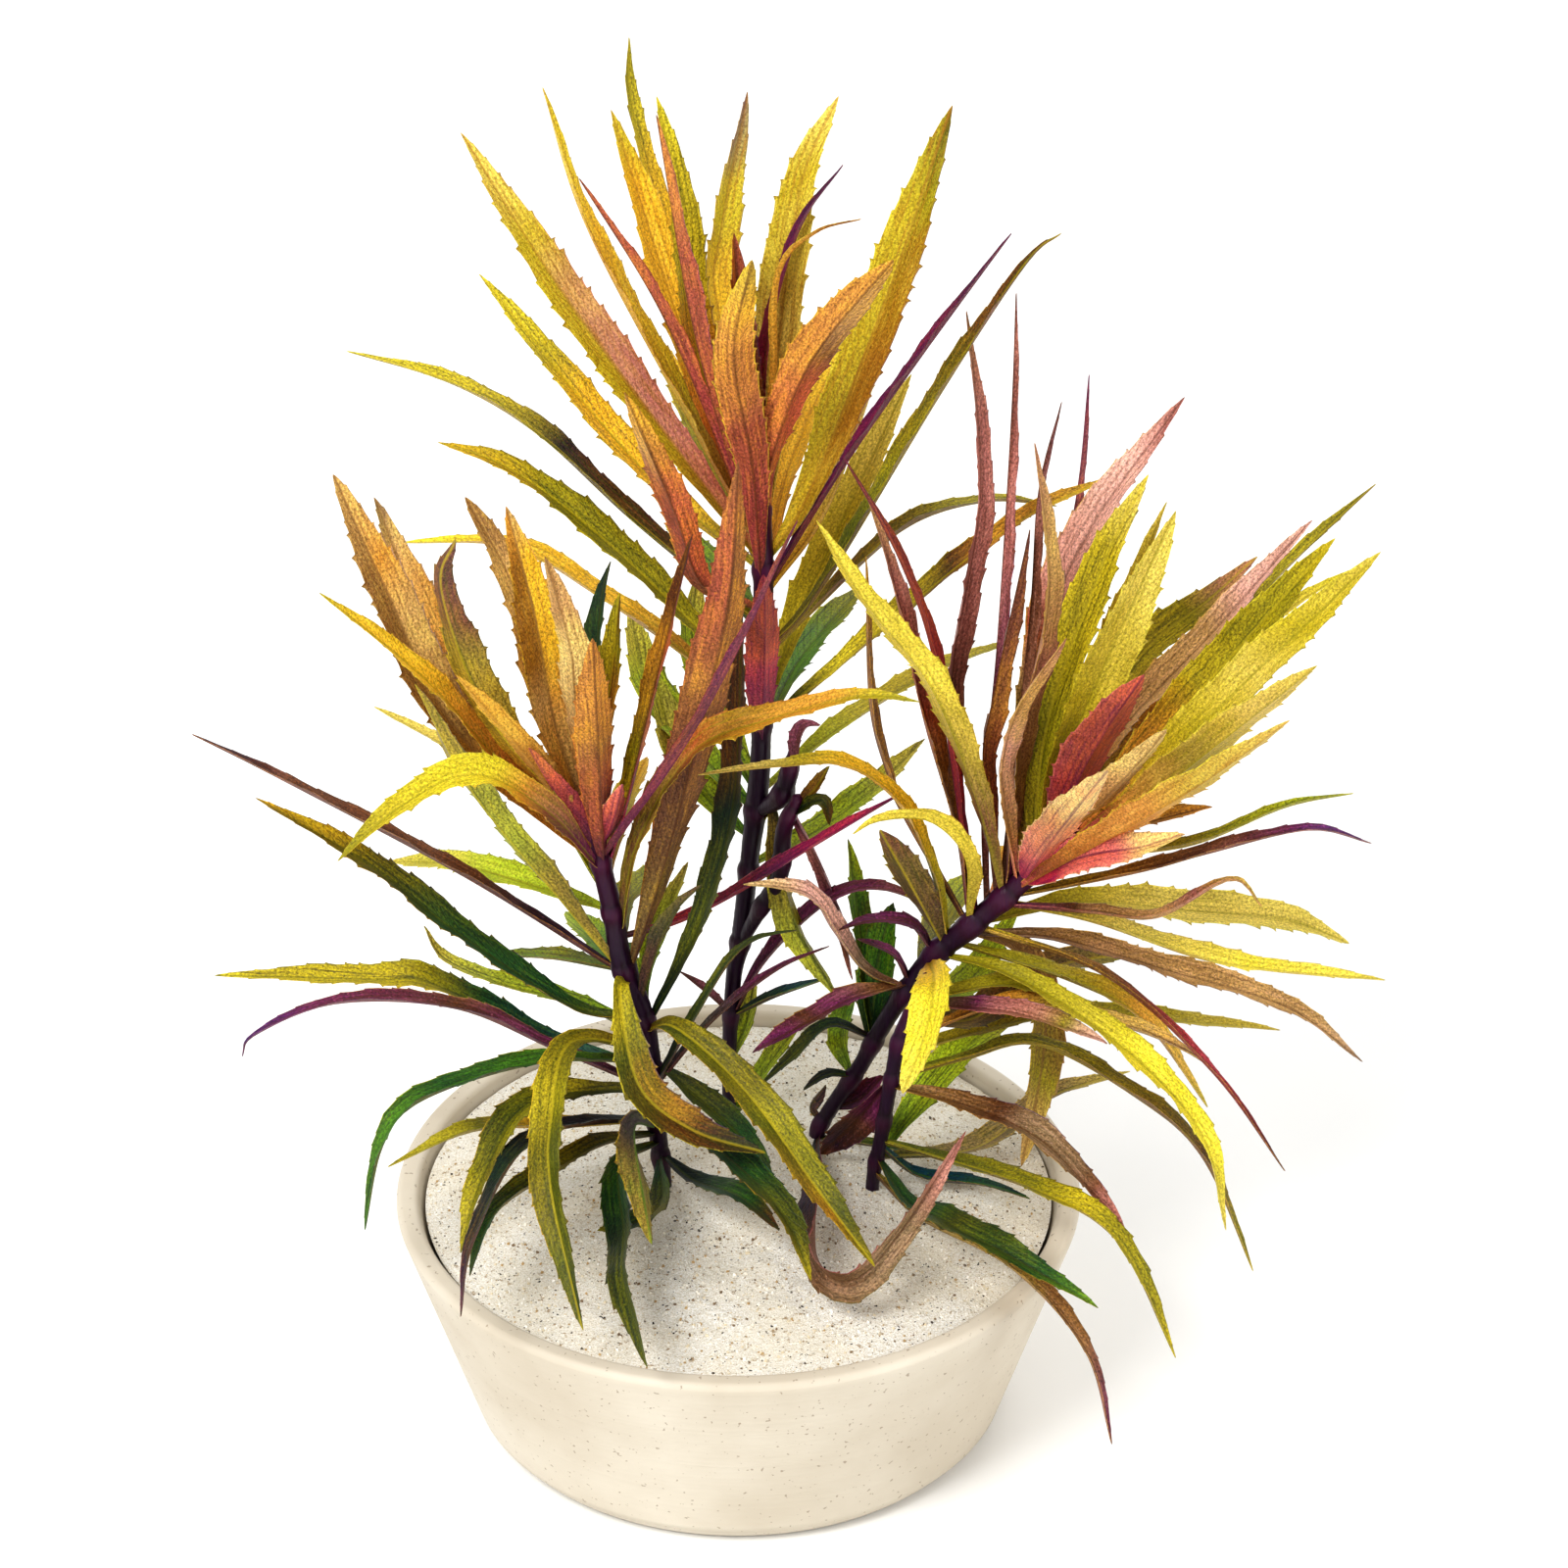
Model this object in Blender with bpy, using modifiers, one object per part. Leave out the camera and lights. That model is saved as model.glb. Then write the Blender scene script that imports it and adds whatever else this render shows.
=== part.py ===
"""Broad leaf pogostemon stellatus growing in pale sand in a plain round pot.

Four purple stems stand in the sand.  Each carries whorls of long toothed leaves.
The pot's underside is at z = 0 and the pot's axis is the z axis.

Places on the plant are given in millimetres the way it is seen from in front, with
the eye a little above it: ACROSS is to the right of the pot's axis, UP is up the
plane that faces the eye, and BACK is behind the pot's axis.  seen() turns the three
into a place in the model.
"""
import math

import bmesh
import bpy
import numpy as np

MM = 0.001

# Pot: a turned bowl with a closed flat base
POT_RIM_RADIUS = 75.0
POT_BASE_RADIUS = 58.0
POT_HEIGHT = 54.0
POT_WALL = 5.0
POT_FLOOR = 6.0
POT_FOOT_ROUND = 4.0
POT_RIM_ROUND = 1.6
POT_SIDES = 32

# Sand: a filling with a low crown, a fitting gap inside the pot
SAND_CROWN = 56.0
SAND_EDGE = 51.0
SAND_SIDES = 24
FITTING_GAP = 0.3
STEM_BURIED = 18.0
SOCKET_ROOM = 0.9
SOCKET_SIDES = 8

# Eye: how the plant is looked at
EYE_TILT = math.radians(30.0)
EYE_DISTANCE = 1200.0
EYE_AIM_ACROSS = 10.0
EYE_AIM_UP = 86.0

# Leaf blades: the foot of a leaf that is a piece of its own stands a gap off its stem, and
# the foot of a fused one is buried in it; a blade has a ring at each share of its length
LEAF_THICKNESS = 1.1
LEAF_CHANNEL = 0.22
LEAF_FOOT_WIDTH = 1.5
LEAF_BEND = 1.15
LEAF_FULLNESS = 0.8
LEAF_FOOT_GAP = 0.8
LEAF_FOOT_BURIED = 1.2
LEAF_STATIONS = (0.0, 0.13, 0.31, 0.5, 0.69, 0.87, 1.0)
PLAIN_STATIONS = (0.0, 0.16, 0.4, 0.64, 0.86, 1.0)
SHORT_STATIONS = (0.0, 0.2, 0.48, 0.78, 1.0)
BRIEF_STATIONS = (0.0, 0.28, 0.68, 1.0)
STEM_STEPS = 2

COLOURS = {
    "gold": (0.58, 0.38, 0.05),
    "olive": (0.36, 0.33, 0.05),
    "yellow": (0.74, 0.60, 0.07),
    "orange": (0.50, 0.21, 0.05),
    "crimson": (0.36, 0.05, 0.11),
    "mauve": (0.31, 0.15, 0.17),
    "tan": (0.56, 0.37, 0.20),
    "green": (0.09, 0.17, 0.03),
    "teal": (0.03, 0.12, 0.09),
    "stem": (0.035, 0.012, 0.045),
    "pot": (0.80, 0.76, 0.68),
    "sand": (0.74, 0.66, 0.50),
}

# Stems, from the sand to the growing tip: across, up, back, radius
STEMS = {
    "tall": ((-2, 11, 22, 1.6), (-2, 28, 22, 1.7), (-1, 44, 22, 1.9), (0.5, 52, 22, 2.3),
             (2.5, 70, 22, 2.2), (4, 82, 22, 2.6), (5, 96, 21, 2.3), (5.5, 134, 20, 2.4),
             (5, 150, 20, 1.9), (5, 158, 20, 1.1)),
    "left": ((-16.4, -2, -4, 1.9), (-18, 12, -4, 2.2), (-19, 24, -5, 2.3), (-21, 36, -6, 2.3),
             (-25.6, 47, -7, 2.6), (-27.6, 58, -7, 2.4), (-31.5, 74, -8, 2.2), (-33, 80, -8, 1.2)),
    "right": ((17, 8, 16, 1.8), (20, 14.4, 16, 1.9), (26.4, 23.6, 14, 2.0), (30.4, 30.8, 12, 2.1),
              (35.4, 38.8, 10, 2.3), (42.6, 48, 8, 2.7), (48.8, 53.2, 6, 2.8), (56, 59.2, 4, 2.7),
              (63, 65.4, 2, 2.5), (69, 71.5, 0, 2.1), (74, 77, -1, 1.2)),
    "low": ((29.4, -2, -4, 1.6), (31.4, 9, -5, 1.7), (33.4, 20.4, -6, 1.7), (35.6, 31, -6, 1.8),
            (39.6, 38.8, -6, 1.7), (41, 44, -6, 1.0)),
}

# Side shoots, from inside the stem that they grow from to their tip
SIDE_SHOOTS = {
    "tall_low_shoot": ((0.5, 51, 22, 1.5), (5, 59, 17, 1.9), (9, 66, 14, 2.1), (10, 76, 13, 2.0),
                       (13, 83, 12, 1.3)),
    "tall_high_shoot": ((4, 80, 22, 1.6), (9, 83, 17, 2.4), (11, 88, 15, 2.2), (12, 93, 14, 1.2)),
}
GROWTH = {**STEMS, **SIDE_SHOOTS}

# Leaves that are pieces of their own: name, stem, height of the foot up the stem,
# course as (across, up), how far back of the foot each place of the course lies (one
# number is the tip's), blade width, share of the width that shows from in front, colour
LEAVES = (
    ("tall_leaf_01", "tall", 136, ((-36, 190), (-61, 229)), 30, 10, 0.9, "gold"),
    ("tall_leaf_02", "tall", 133, ((-22, 156), (-57, 198)), 42, 8, 0.8, "olive"),
    ("tall_leaf_03", "tall", 125, ((-8, 130), (-14, 146), (-25, 172)), -26, 7.5, 0.9, "orange"),
    ("tall_leaf_04", "tall", 136, ((-9, 172), (-19, 214), (-24, 238), (-24, 250)), 52, 9, 0.6,
     "olive"),
    ("tall_leaf_05", "tall", 139, ((-10, 178), (-20, 209), (-28, 234)), (12, 22, 26), 10, 0.85,
     "gold"),
    ("tall_leaf_06", "tall", 143, ((-9, 180), (-13, 213), (-18, 237)), (4, 2, -2), 9, 0.8,
     "olive"),
    ("tall_leaf_07", "tall", 152, ((-5, 192), (-4, 207), (2, 238)), 54, 8.5, 0.75, "gold"),
    ("tall_leaf_08", "tall", 132, ((3, 156), (-1, 180), (3, 201)), -24, 9.5, 1.0, "orange"),
    ("tall_leaf_09", "tall", 143, ((9, 184), (14, 218), (22, 237)), 16, 10.5, 0.95, "gold"),
    ("tall_leaf_10", "tall", 136, ((16, 151), (33, 194), (47, 235)), 12, 11.5, 0.95, "gold"),
    ("tall_leaf_11", "tall", 144, ((7, 157), (16, 179), (34, 201)), (-4, -13, -25), 10, 0.9,
     "orange"),
    ("tall_leaf_12", "tall", 102, ((12, 120), (23, 144), (38, 176)), 34, 9, 0.9, "yellow"),
    ("tall_leaf_13", "tall", 131, ((23, 156), (40, 180), (60, 207)), -6, 5.5, 0.25, "crimson"),
    ("tall_leaf_14", "tall", 116, ((18, 129), (45, 173), (63, 200), (71, 207)), -14, 7, 0.4,
     "olive"),
    ("tall_leaf_15", "tall", 122, ((-23, 144), (-44, 163), (-63, 174), (-86, 181)), 22, 8, 0.45,
     "olive"),
    ("tall_leaf_16", "tall", 108, ((-10, 121), (-30, 140), (-50, 155), (-66, 161)), 10, 9, 0.7,
     "olive"),
    ("tall_leaf_17", "tall", 100, ((-10, 113), (-30, 127), (-50, 138), (-74, 139)), 34, 8, 0.45,
     "yellow"),
    ("tall_leaf_18", "tall", 99, ((22, 112), (50, 135), (66, 146), (84, 154)), 15, 8, 0.55,
     "olive"),
    ("left_leaf_01", "left", 70, ((-62, 98), (-78, 130), (-89, 154)), -3, 11, 0.9, "tan"),
    ("left_leaf_02", "left", 75, ((-52, 94), (-68.5, 121), (-80, 149)), 32, 11, 0.85, "tan"),
    ("left_leaf_03", "left", 71, ((-50, 88), (-69, 109), (-92, 128)), -20, 8, 0.5, "yellow"),
    ("left_leaf_04", "left", 48, ((-39, 61), (-58, 84), (-71, 108)), -16, 9, 0.6, "olive"),
    ("left_leaf_05", "left", 72, ((-42, 100), (-49, 128), (-60, 149)), 36, 10, 0.8, "tan"),
    ("left_leaf_06", "left", 76, ((-40, 98), (-45, 124), (-51, 147)), 14, 10.5, 0.95, "tan"),
    ("left_leaf_07", "left", 77, ((-35.5, 103), (-37, 117), (-42.5, 136)), -10, 8.5, 0.9, "tan"),
    ("left_leaf_08", "left", 68, ((-24, 84), (-18, 108), (-10, 141)), 8, 7, 0.55, "orange"),
    ("left_leaf_09", "left", 46, ((-16, 70), (-8, 100), (-2, 128), (0, 157)), -14, 11, 0.9,
     "orange"),
    ("left_leaf_10", "left", 55, ((-22, 73), (-10, 93), (7, 100), (27, 105), (40, 104)), -24.5,
     8.5, 0.6, "yellow"),
    ("left_leaf_11", "left", 34, ((-9, 54), (-1, 82), (1, 127)), 8, 8.5, 0.65, "green"),
    ("left_leaf_12", "left", 69, ((-42, 80), (-58, 88), (-74, 81), (-88, 69)),
     (-14, -28, -40, -50), 9, 0.7, "yellow"),
    ("left_leaf_13", "left", 35, ((-36, 37), (-60, 52), (-81, 68), (-106, 83)), 2, 9, 0.55,
     "green"),
    ("left_leaf_14", "left", 24, ((-40, 29), (-67, 42), (-80, 43), (-115, 44)), (6, 6, 5, 2), 8.5,
     0.6, "green"),
    ("left_leaf_15", "left", 44, ((-26, 40), (-22, 20), (-10, 10), (6, 5)), (-9, -20, -24, -27),
     9.5, 0.9, "olive"),
    ("left_leaf_16", "left", 33, ((-13, 32), (2, 18), (18, -4), (30, -20)), (-13, -27, -43, -55),
     9.5, 0.8, "olive"),
    ("left_leaf_17", "left", 18, ((-12, 12), (8, -6), (16, -23)), (-9, -35, -51), 9, 0.65,
     "green"),
    ("left_leaf_18", "left", 29, ((-37, 29), (-41, 13), (-41, -3), (-34, -34)),
     (-12, -30, -46, -68), 9, 0.8, "olive"),
    ("left_leaf_19", "left", 20, ((-45, 16), (-56, 0), (-61, -17)), (-18, -36, -50), 8.5, 0.65,
     "green"),
    ("left_leaf_20", "left", 26, ((-44, 25), (-69, 17), (-78, 7), (-82, -12)),
     (-10, -22, -30, -38), 8, 0.4, "teal"),
    ("left_leaf_21", "left", 8, ((-26, 2), (-25, -12), (-25, -23), (-20, -42)),
     (-20, -39, -56, -78), 8.5, 0.65, "green"),
    ("right_leaf_01", "right", 62, ((52, 84), (42, 108), (28, 126), (17, 144)), -24, 8.5, 0.7,
     "yellow"),
    ("right_leaf_02", "right", 66, ((66, 104), (74, 136), (98, 171)), 34, 11, 0.8, "mauve"),
    ("right_leaf_03", "right", 68, ((68, 100), (80, 134), (90, 154)), 14, 10.5, 0.9, "olive"),
    ("right_leaf_04", "right", 70, ((71, 90), (82, 116), (96, 146)), -6, 11, 0.95, "yellow"),
    ("right_leaf_05", "right", 76.9, ((75, 84), (86, 100), (104, 119), (126, 144)),
     (12, 26, 38, 46), 9.5, 0.65, "mauve"),
    ("right_leaf_06", "right", 74.2, ((80, 81), (90, 94), (110, 116), (131, 140)), (2, 8, 8, 4),
     10.5, 0.85, "olive"),
    ("right_leaf_07", "right", 72, ((86, 84), (112, 109), (128, 124), (141, 137)),
     (-4, -9, -14, -18), 10.5, 0.85, "yellow"),
    ("right_leaf_08", "right", 71, ((82, 77), (104, 94), (127, 112)), (-14, -30, -46), 10, 0.8,
     "yellow"),
    ("right_leaf_09", "right", 56, ((74, 60), (100, 58), (120, 56), (134, 51)), 26, 10, 0.75,
     "yellow"),
    ("right_leaf_10", "right", 50, ((60, 44), (82, 30), (101, 10), (107, -12)),
     (-12, -20, -28, -34), 9, 0.6, "yellow"),
    ("right_leaf_11", "right", 48, ((43, 42), (41, 31), (36, 18)), (-22, -34, -42), 9, 0.9,
     "yellow"),
    ("right_leaf_12", "right", 9, ((17, -2), (17, -18), (25, -23), (35, -13), (50, 10)),
     (-27, -60, -67, -61, -53), 9, 0.75, "mauve"),
    ("low_leaf_01", "low", 20, ((51, 15), (66, 8), (78, -4), (85, -12)), (-9, -17, -24, -30), 9,
     0.6, "mauve"),
    ("low_leaf_02", "low", 8, ((44, 4), (65, -3), (83, -14), (96, -40)), (-7, -25, -37, -51), 8.5,
     0.45, "olive"),
    ("low_leaf_03", "low", 4, ((37, -6), (45, -10), (60, -18), (79, -29)), (-15, -29, -45, -57), 9,
     0.6, "green"),
)

# Leaves that stay grown to their stem's node: the same without the name and the colour
SHOOT_LEAVES = (
    ("tall", 139, ((-3, 158), (-17, 190), (-35, 219)), (-5, -10, -14), 6, 0.35),
    ("tall", 147, ((-1, 156), (-10, 188), (-18, 233)), (-5, -12, -18), 8, 0.35),
    ("tall", 153, ((1, 180), (-1, 207)), -4, 7, 0.8),
    ("tall", 149, ((6, 180), (13, 207), (23, 222)), 8, 5, 0.35),
    ("tall", 145, ((8, 176), (9, 198), (17, 207), (27, 210)), (0, -2, -4, -4), 3.5, 0.3),
    ("tall", 128, ((20, 148), (35, 190), (39, 200)), 42, 7, 0.45),
    ("tall", 114.5, ((16, 124), (36, 142), (54, 148), (70, 147)), 24, 7, 0.35),
    ("tall", 84, ((22, 98), (42, 110), (62, 118)), 55, 8, 0.5),
    ("tall", 97, ((5.5, 108), (5.8, 120), (5.5, 132)), -25, 8, 0.95),
    ("tall", 79, ((8, 80), (9, 68), (13, 54), (22, 39)), -16, 8, 0.65),
    ("tall", 68, ((18, 76), (31, 86), (41, 96)), 40, 8, 0.7),
    ("tall", 37, ((4, 45), (11, 53), (21, 61), (31, 63), (43, 59)), -12, 6.5, 0.45),
    ("tall", 140, ((-10, 165), (-33, 208), (-43, 239)), (-4, -3, 0), 8, 0.35),
    ("tall", 84, ((-3, 98), (-10, 116), (-9, 132)), 40, 10, 0.85),
    ("tall", 80, ((-8, 92), (-20, 108), (-24, 126)), 52, 10, 0.85),
    ("tall", 74, ((-6, 82), (-14, 94), (-19, 112)), 32, 9, 0.85),
    ("tall", 133, ((-6, 158), (-20, 186)), 62, 9, 0.8),
    ("tall", 130, ((12, 158), (26, 188)), 62, 9, 0.8),
    ("tall", 126, ((2, 146), (-3, 162)), 62, 9, 0.8),
    ("tall", 118, ((-4, 131), (-16, 143)), 60, 9, 0.8),
    ("tall", 97, ((14, 114), (28, 130)), 60, 9, 0.8),
    ("tall_low_shoot", 80, ((18, 82), (20, 77)), -5, 4, 0.7),
    ("tall_low_shoot", 81, ((17, 85), (20, 90)), 4, 4, 0.7),
    ("tall_high_shoot", 91, ((14, 98), (18, 99)), -3, 5, 0.6),
    ("tall", 36, ((8, 39.5), (20, 43.5)), -10, 4, 0.35),
    ("tall", 25, ((2, 34), (4, 45)), 10, 5.5, 0.75),
    ("tall", 13, ((5, 22), (14, 34)), 10, 6, 0.7),
    ("tall", 37, ((-7, 40.5), (-13, 45)), -12, 3.6, 0.4),
    ("tall_low_shoot", 79, ((17, 70), (22, 58), (25, 43)), (4, 7, 9), 5, 0.5),
    ("left", 77, ((-54, 100), (-65, 128), (-62, 140)), -22, 10, 0.8),
    ("left", 70, ((-31, 96), (-32, 118)), -32, 9, 0.9),
    ("left", 78, ((-28.5, 104), (-26, 128)), (2, 8), 8, 0.75),
    ("left", 71, ((-13, 93), (0, 116), (13, 144)), (-18, -23, -26), 5, 0.25),
    ("left", 40, ((-18, 50), (-14, 58), (-8, 64)), -18, 5.5, 0.6),
    ("left", 73, ((-28, 77), (-25.5, 86)), (-6, -12), 5.5, 0.8),
    ("left", 74, ((-40, 84), (-46, 94)), -14, 7, 0.7),
    ("left", 58, ((-46, 64), (-61, 68), (-77, 69)), 42, 8, 0.7),
    ("left", 45, ((-42, 48), (-56, 48)), 36, 6, 0.4),
    ("left", 62, ((-44, 82), (-80, 103)), 50, 7, 0.5),
    ("left", 52, ((-13, 56), (1, 63), (14, 71), (36, 84)), (8, 12, 14, 14), 5.5, 0.4),
    ("left", 14, ((-45, 8), (-58, -14), (-61, -31)), (-30, -56, -70), 7, 0.3),
    ("left", 10, ((-30, 7), (-44, -1), (-54, -9), (-59, -22)), (-14, -28, -40, -52), 8, 0.45),
    ("left", 13, ((-38, 11), (-58, 10), (-77, 2)), (-10, -20, -30), 7, 0.35),
    ("left", 12, ((-23, 11), (-22, 1), (-19, -15)), (-14, -32, -54), 8, 0.7),
    ("left", 5, ((-17, -6), (-24, -11), (-31, -12)), (-16, -26, -32), 7, 0.7),
    ("left", 5, ((-10, -1), (0, -4.5), (9, -12)), (-10, -24, -38), 7, 0.6),
    ("left", 20, ((-40, 28), (-62, 37), (-88, 38), (-106, 31), (-109, 26)),
     (-2, -8, -14, -18, -20), 6.5, 0.35),
    ("left", 31, ((-36, 38), (-52, 42), (-65, 48), (-69, 55)), (12, 22, 27, 28), 7, 0.5),
    ("left", 46, ((-60, 66), (-100, 87), (-120, 97)), 12, 6, 0.3),
    ("left", 74, ((-31, 110), (-30, 126), (-28, 135)), 34, 8, 0.6),
    ("left", 66, ((-36, 80), (-48, 96)), 56, 9, 0.8),
    ("left", 63, ((-26, 78), (-20, 92)), 54, 9, 0.8),
    ("left", 48, ((-24, 60), (-14, 70)), 56, 9, 0.8),
    ("left", 38, ((-27, 48), (-38, 58)), 56, 9, 0.8),
    ("left", 73.5, ((-46, 92), (-62, 110)), -24, 6.5, 0.8),
    ("left", 22, ((-9, 36), (-2, 47), (4, 52), (13, 54)), (-10, -9, -8, -7), 4, 0.45),
    ("left", 21, ((-6, 34), (8, 45), (20, 50.5)), (2, 3, 4), 3.6, 0.35),
    ("left", 35, ((-19, 48), (-11, 69)), 26, 7, 0.7),
    ("left", 24, ((-10, 18), (0, 9), (8, -3)), (1, -6, -11), 8, 0.7),
    ("right", 57, ((44, 109), (36, 134), (23, 158)), -2, 6, 0.25),
    ("right", 56, ((48, 76), (41, 100), (34, 130), (28, 150)), 4, 8, 0.45),
    ("right", 57, ((47, 86), (47, 112), (53, 150), (50, 190)), 24, 8, 0.55),
    ("right", 59, ((54, 84), (57, 115), (60, 165), (61, 194)), 32, 5.5, 0.3),
    ("right", 62, ((64, 120), (66, 150), (71, 170)), 10, 5, 0.3),
    ("right", 63, ((66, 112), (74, 147), (77, 176)), 50, 5, 0.3),
    ("right", 63, ((62, 96), (68, 128), (65, 161)), -4, 8, 0.5),
    ("right", 61, ((54, 90), (56, 104), (64, 142)), 5, 7, 0.45),
    ("right", 65, ((58, 84), (58, 92), (62, 104), (72, 118)), -28, 7, 0.55),
    ("right", 68, ((85, 110), (104, 127), (114, 136)), (42, 52, 58), 10, 0.9),
    ("right", 66, ((92, 102), (117, 130), (140, 152)), 66, 8, 0.45),
    ("right", 65, ((98, 84), (121, 100)), (-42, -58), 9, 0.7),
    ("right", 73, ((74, 86), (80, 97), (89, 110)), -24, 11, 0.9),
    ("right", 66, ((68, 73), (76, 83), (81, 89)), (-23, -42, -52), 10, 0.9),
    ("right", 66, ((76, 70), (88, 72), (98, 75)), (-18, -28, -34), 9, 0.85),
    ("right", 74, ((78, 81), (88, 91), (94, 98)), (-14, -22, -28), 9, 0.75),
    ("right", 63, ((88, 67), (103, 71), (125, 76), (139, 73)), -16, 5.5, 0.4),
    ("right", 61, ((78, 58), (92, 57), (108, 65), (115, 59)), -22, 5, 0.35),
    ("right", 54, ((70, 52), (94, 45), (120, 37), (137, 25)), 12, 8.5, 0.6),
    ("right", 56, ((81, 44), (104, 23), (120, 1)), -26, 4, 0.3),
    ("right", 52, ((73, 43), (89, 34), (103, 15)), -5, 8, 0.45),
    ("right", 52, ((43, 66), (36, 81), (24, 90), (10, 90), (-9, 88)), -20, 6, 0.45),
    ("right", 56, ((50, 70), (42, 78), (31, 78), (25, 75)), -20, 7, 0.5),
    ("right", 51, ((39, 62), (31, 76)), -12, 9, 0.8),
    ("right", 42, ((25, 39), (16, 34), (3, 27)), -18, 7.5, 0.55),
    ("right", 41, ((28, 45), (21, 54), (15, 62), (1, 64)), -12, 7, 0.5),
    ("right", 30, ((27, 50), (24, 74)), 16, 7, 0.7),
    ("right", 29, ((31, 48), (34, 60)), 10, 9, 0.95),
    ("right", 54, ((62, 50), (67, 36), (66, 21), (62, 2)), (6, 4, 0, -6), 9, 0.9),
    ("right", 61, ((78, 56), (101, 48), (118, 45), (142, 43)), -8, 8, 0.45),
    ("right", 15, ((27, 17), (32, 22)), 3, 6, 0.8),
    ("right", 12, ((16, 15), (19.2, 20)), 4, 3.5, 0.6),
    ("right", 55, ((36, 80), (33, 88), (29, 104), (28, 136)), (10, 10, 10, 8), 4.5, 0.3),
    ("right", 49, ((38, 55), (30, 56), (22, 54)), -4, 5, 0.5),
    ("right", 69, ((78, 106), (88, 132), (94, 148)), 24, 8, 0.5),
    ("right", 64, ((92, 96), (118, 122), (137, 134)), 54, 8, 0.5),
    ("right", 69, ((82, 75), (92, 78), (104, 81)), 12, 8, 0.5),
    ("right", 65, ((80, 70), (100, 73), (120, 81), (135, 84)), 6, 5, 0.35),
    ("right", 64, ((66, 82), (60, 98)), 60, 9, 0.8),
    ("right", 58, ((64, 74), (76, 90)), 62, 9, 0.8),
    ("right", 44, ((46, 58), (54, 68)), 56, 9, 0.8),
    ("right", 30, ((20, 33), (12, 26), (5, 20)), (2, 3, 4), 5, 0.6),
    ("right", 22, ((22.5, 31), (25.5, 42)), 14, 7, 0.75),
    ("right", 9, ((26, 7.4), (36, 5.6), (46, 3.6)), (-6, -10, -14), 4.2, 0.4),
    ("right", 43, ((34, 48.5), (26, 52)), -6, 3.6, 0.4),
    ("right", 22, ((19.5, 22), (14.2, 18.8)), -5, 3.6, 0.6),
    ("low", 38, ((59, 36), (76, 31), (81, 29)), -14, 8, 0.5),
    ("low", 36, ((50, 42), (56, 50), (62, 60)), (24, 34, 42), 8, 0.9),
    ("low", 35, ((50, 34), (60, 40), (70, 46), (88, 49)), (14, 22, 28, 36), 9, 0.8),
    ("low", 26, ((50, 31), (70, 35), (95, 34), (119, 32)), (14, 22, 26, 28), 8, 0.5),
    ("low", 22, ((50, 26), (66, 29), (88, 17), (102, 4), (113, -21)), (0, 2, -4, -8, -14), 7,
     0.35),
    ("low", 4, ((38, 14), (50, 28), (64, 38)), 36, 9, 0.85),
    ("low", 4, ((52, 6), (68, 17), (86, 23)), (12, 28, 38), 8, 0.5),
    ("low", 39, ((59, 42), (70, 39), (82, 34)), (6, 2, -2), 7, 0.5),
    ("low", 30, ((60, 38), (84, 33), (97, 28), (105, 23)), (2, 0, 2, 4), 7, 0.4),
    ("low", 1, ((40, -9), (60, -20), (76, -38), (82, -59)), (-18, -40, -56, -66), 7, 0.4),
    ("low", 6, ((40, 0), (54, -2), (64, -5)), (2, 0, -4), 5, 0.4),
    ("low", 20, ((27, 13.5), (18, 4.8)), 12, 8.5, 0.9),
)


def seen(across, up, back):
    """Return the place, in millimetres, seen at (across, up) and lying BACK behind the axis.

    The plane that faces the eye passes through the sand's crown.  The line from the eye
    through (across, up) on that plane is followed until it is BACK behind the pot's axis.
    """
    upward = np.array((0.0, math.sin(EYE_TILT), math.cos(EYE_TILT)))
    rightward = np.array((1.0, 0.0, 0.0))
    crown = np.array((0.0, 0.0, SAND_CROWN))
    inward = np.array((0.0, math.cos(EYE_TILT), -math.sin(EYE_TILT)))
    eye = crown + rightward * EYE_AIM_ACROSS + upward * EYE_AIM_UP - inward * EYE_DISTANCE
    on_plane = crown + rightward * across + upward * up
    reach = (back - eye[1]) / (on_plane[1] - eye[1])
    return eye + (on_plane - eye) * reach


def unit(vector):
    """Return the vector, or each row of vectors, at length one."""
    length = np.linalg.norm(vector, axis=-1, keepdims=True)
    return vector / np.maximum(length, 1e-9)


def smooth_course(points, shares):
    """Return places at the given shares of the length of a smooth curve through the points."""
    points = np.asarray(points, float)
    before = 2 * points[0] - points[1]
    after = 2 * points[-1] - points[-2]
    padded = np.vstack((before, points, after))
    pieces = []
    for i in range(1, len(padded) - 2):
        t = np.linspace(0.0, 1.0, 16, endpoint=False)[:, None]
        p0, p1, p2, p3 = padded[i - 1:i + 3]
        pieces.append(0.5 * (2 * p1 + (p2 - p0) * t + (2 * p0 - 5 * p1 + 4 * p2 - p3) * t**2
                             + (3 * p1 - p0 - 3 * p2 + p3) * t**3))
    dense = np.vstack(pieces + [padded[-2][None]])
    run = np.concatenate(((0.0,), np.cumsum(np.linalg.norm(np.diff(dense, axis=0), axis=1))))
    wanted = np.asarray(shares) * run[-1]
    return np.stack([np.interp(wanted, run, dense[:, k]) for k in range(3)], axis=1)


def stem_at(stem, height):
    """Return the stem's axis point, its direction there, its radius and its back value."""
    rows = np.array(GROWTH[stem], float)
    across, back, radius = (np.interp(height, rows[:, 1], rows[:, k]) for k in (0, 2, 3))
    above = height + 1.0
    across_above, back_above = (np.interp(above, rows[:, 1], rows[:, k]) for k in (0, 2))
    here = seen(across, height, back)
    along = unit(seen(across_above, above, back_above) - here)
    return here, along, radius, back


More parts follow.
